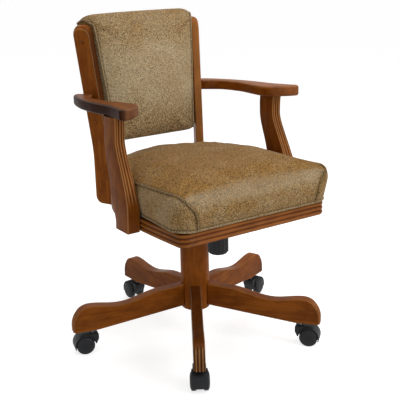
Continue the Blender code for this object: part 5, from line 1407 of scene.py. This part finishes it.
# The cover from its foot up the front, over the top and down behind, as the set-back from the
# stiles' front and the height.
cover_profile = smooth_path([
    (-0.002, BACK_BOTTOM + 0.001), (-BACK_FORWARD * 0.7, BACK_BOTTOM + 0.008),
    (-BACK_FORWARD, BACK_BOTTOM + 0.030), (-BACK_FORWARD, BACK_BOTTOM + back_height * 0.3),
    (-BACK_FORWARD, BACK_BOTTOM + back_height * 0.6), (-BACK_FORWARD, BACK_TOP - 0.050),
    (-BACK_FORWARD * 0.8, BACK_TOP - 0.022), (-BACK_FORWARD * 0.2, BACK_TOP - 0.006),
    (0.016, BACK_TOP), (roll_rear * 0.7, BACK_TOP - 0.002), (roll_rear - 0.006, BACK_TOP - 0.010),
    (roll_rear, BACK_TOP - 0.022), (roll_rear - 0.003, BACK_ROLL)], 5)
cover_profile = [(board_near, BACK_BOTTOM + 0.012), *[tuple(p) for p in cover_profile],
                 (board_near, BACK_ROLL)]


def cover_point(share, set_back, z, slack):
    """A place on the back's cover: share runs from one stile to the other."""
    level = (z - BACK_BOTTOM - back_height / 2) / (back_height / 2)
    bend = max(abs(share) - BACK_EDGE_FROM, 0.0) / (1 - BACK_EDGE_FROM)
    rolled = 1 - math.sqrt(max(1 - bend ** 2, 0.0))
    ahead = set_back < 0
    crown = BACK_CROWN * (1 - share ** 2) * max(1 - level ** 2, 0.0) if ahead else 0.0
    y = back_front(z) + set_back - crown + (BACK_EDGE_DEEP * rolled + slack if ahead else 0.0)
    tuck = BACK_FOOT_TUCK * (BACK_TOP - z) / back_height if ahead else 0.0
    if set_back > stile_deep * 0.6:
        y -= BACK_EDGE_DEEP * 0.6 * rolled
    z -= (BACK_EDGE_DROP * rolled + slack) * swing((z - BACK_ROLL) / (BACK_TOP - BACK_ROLL))
    return (share * (between_stiles(max(y, back_front(z) - BACK_FORWARD)) - tuck), y, z)


stations = [math.sin(math.pi / 2 * (i / 32 - 1)) for i in range(65)]
rings = [[cover_point(share, b, z, BACK_SLACK) for b, z in cover_profile] for share in stations]
back_start = outward(skin(rings), 180)
back_seams = []
for side in (-1, 1):
    line_up = [cover_point(side * BACK_SEAM, b, z, BACK_SLACK) for b, z in cover_profile[6:-2]]
    back_seams.append(on_surface(smooth_path(line_up, 3), back_start, 0.0))


def back_held(places):
    """Points against the board or the stiles, or in a seam."""
    front_at = np.array([back_front(z) for z in places[:, 2]])
    wall = np.array([between_stiles(y) for y in places[:, 1]])
    against = (places[:, 1] > front_at + BACK_TOUCH) & (places[:, 2] < BACK_ROLL + BACK_ROLL_HELD)
    beside = np.abs(places[:, 0]) > wall - BACK_GRIP
    return against | beside | (near(places, back_seams, SEAM_HELD) > 0.3)


def back_room(places):
    """Keep the cover between the stiles and under the top of the back."""
    wall = np.array([between_stiles(y) for y in places[:, 1]])
    free = places[:, 1] < np.array([back_front(z) for z in places[:, 2]]) - BACK_TOUCH
    limit = np.where(free, wall + BACK_GRIP, wall)
    places[:, 0] = np.clip(places[:, 0], -limit, limit)
    places[:, 2] = np.minimum(places[:, 2], BACK_TOP + BACK_RISE)
    return places


back_cover = swollen(back_start, BACK_VOXEL, BACK_CAP, back_held, back_room)
# A faint painted sheen on the roll over the top; the pile is tinted browner and its specks are strongest at
# the top and the foot.
nap_of(back_cover, back_seams,
       lambda p, n: 0.28 * soft_step(n[:, 2], 0.2, 0.6) * soft_step(-n[:, 2], -0.98, -0.7),
       lambda p, n: 0.55 * soft_step(p[:, 2], 0.80, 0.90) + 0.35 * soft_step(-p[:, 2], -0.70, -0.58) + 0.1,
       lambda p, n: 0.65 + 0.35 * soft_step(-p[:, 2], -0.70, -0.58) + 0.27 * soft_step(p[:, 2], 0.80, 0.90))
fit("back_cushion_cover", back_cover, chenille, "seat", "chenille", "back_cushion")
for word, seam in zip(("right", "left"), back_seams):
    welt(f"back_welt_{word}", seam, back_cover, BACK_WELT_PROUD, WELT_RADIUS, 0.25)

# Back panel: the covered rear of the back, a thin board in the same chenille, drawn tight over
# wadding and pressed in between the stiles, behind the plywood.
BACK_BOARD_THICKNESS = 0.012
PANEL_LOW = BACK_BOTTOM + 0.014
PANEL_HIGH = BACK_ROLL - GAP
PANEL_NEAR = BACK_BOARD_SET + BACK_BOARD_THICKNESS + GAP
PANEL_FAR = stile_deep - 0.003
PANEL_EDGE = 0.003
PANEL_CROWN = 0.004
PANEL_STEPS = 32
rings = []
for i in range(PANEL_STEPS + 1):
    z = PANEL_LOW + (PANEL_HIGH - PANEL_LOW) * i / PANEL_STEPS
    ring_points = []
    for j in range(PANEL_STEPS + 1):
        share = -1.0 + 2.0 * j / PANEL_STEPS
        puff = (1 - share ** 8) * (1 - (2 * i / PANEL_STEPS - 1) ** 8)
        y = back_front(z) + PANEL_FAR - PANEL_EDGE + (PANEL_EDGE + PANEL_CROWN) * puff * 0.9
        ring_points.append((share * between_stiles(min(y, back_front(z) + PANEL_FAR)), y, z))
    for share in (1.0, -1.0):
        y = back_front(z) + PANEL_NEAR
        ring_points.append((share * between_stiles(y), y, z))
    rings.append(ring_points)
panel = outward(skin(rings), 50)
paint(panel, nap=0.4, rolled=0.0, speck=0.8, seam=0.0)
fit("back_panel_cover", panel, chenille, "seat", "chenille", "back_panel")

# Studio: a pale paper floor that keeps the shadow, a white surround and four soft lamps, with the
# camera where the photograph was taken from.  Floor and surround show white to the eye and in
# reflections, and light the chair at a plain level.
FLOOR_HALF = 30.0
floor = bpy.data.objects.new("floor", bpy.data.meshes.new("floor"))
floor.data.from_pydata([(-FLOOR_HALF, -FLOOR_HALF, 0), (FLOOR_HALF, -FLOOR_HALF, 0),
                        (FLOOR_HALF, FLOOR_HALF, 0), (-FLOOR_HALF, FLOOR_HALF, 0)], [], [(0, 1, 2, 3)])
bpy.context.scene.collection.objects.link(floor)
paper, tree, shader = new_finish("white paper floor")
shader.inputs["Base Color"].default_value = linear("#c8c8c8")
shader.inputs["Roughness"].default_value = 0.9
shader.inputs["Specular IOR Level"].default_value = 0.1


def seen_by_eye(tree):
    """1 for what the camera sees, itself or in a reflection or through glass, and 0 for other light."""
    path = add(tree, "ShaderNodeLightPath")
    shown = add(tree, "ShaderNodeMath", {0: path.outputs["Is Camera Ray"], 1: path.outputs["Is Glossy Ray"]},
                operation="MAXIMUM")
    return add(tree, "ShaderNodeMath", {0: shown.outputs[0], 1: path.outputs["Is Transmission Ray"]},
               operation="MAXIMUM").outputs[0]


lift_light = add(tree, "ShaderNodeMath", {0: seen_by_eye(tree), 1: 0.72}, operation="MULTIPLY")
glow = add(tree, "ShaderNodeEmission", {"Color": (1.0, 1.0, 1.0, 1.0), "Strength": lift_light.outputs[0]})
both = add(tree, "ShaderNodeAddShader", {0: shader.outputs[0], 1: glow.outputs[0]})
tree.links.new(both.outputs[0], tree.nodes["Material Output"].inputs["Surface"])
floor.data.materials.append(paper)

world = bpy.data.worlds.new("studio")
bpy.context.scene.world = world
world.use_nodes = True
tree = world.node_tree
level = add(tree, "ShaderNodeMapRange", {"Value": seen_by_eye(tree), "To Min": 0.42, "To Max": 1.0})
sky = tree.nodes["Background"]
sky.inputs["Color"].default_value = (1.0, 1.0, 1.0, 1.0)
tree.links.new(level.outputs["Result"], sky.inputs["Strength"])

for name, place_at, aim_at, size, watts in (
        ("key lamp", (1.4, -2.6, 1.7), (0.0, 0.0, 0.5), 1.5, 46.0),
        ("top lamp", (0.3, -0.4, 3.0), (0.0, 0.0, 0.5), 1.5, 28.0),
        ("fill lamp", (-2.4, -1.0, 1.1), (0.0, 0.0, 0.5), 2.0, 9.0),
        ("rear lamp", (0.6, 2.0, 2.2), (0.0, 0.0, 0.6), 1.4, 14.0)):
    lamp = bpy.data.lights.new(name, "AREA")
    lamp.size = size
    lamp.energy = watts
    holder = bpy.data.objects.new(name, lamp)
    holder.location = place_at
    holder.rotation_euler = (Vector(aim_at) - Vector(place_at)).to_track_quat("-Z", "Y").to_euler()
    bpy.context.scene.collection.objects.link(holder)

# The camera's place, turn and lens are those that were fitted to the photograph.
lens = bpy.data.cameras.new("camera")
lens.lens = 72.829
lens.shift_x = -0.000675
lens.shift_y = -0.001
lens.sensor_width = 36.0
lens.clip_end = 200.0
camera = bpy.data.objects.new("camera", lens)
camera.location = (-1.18991, -1.84061, 1.09049)
camera.rotation_euler = (1.26942, 0.022681, -0.59032)
bpy.context.scene.collection.objects.link(camera)
bpy.context.scene.camera = camera
bpy.context.scene.view_settings.view_transform = "Standard"
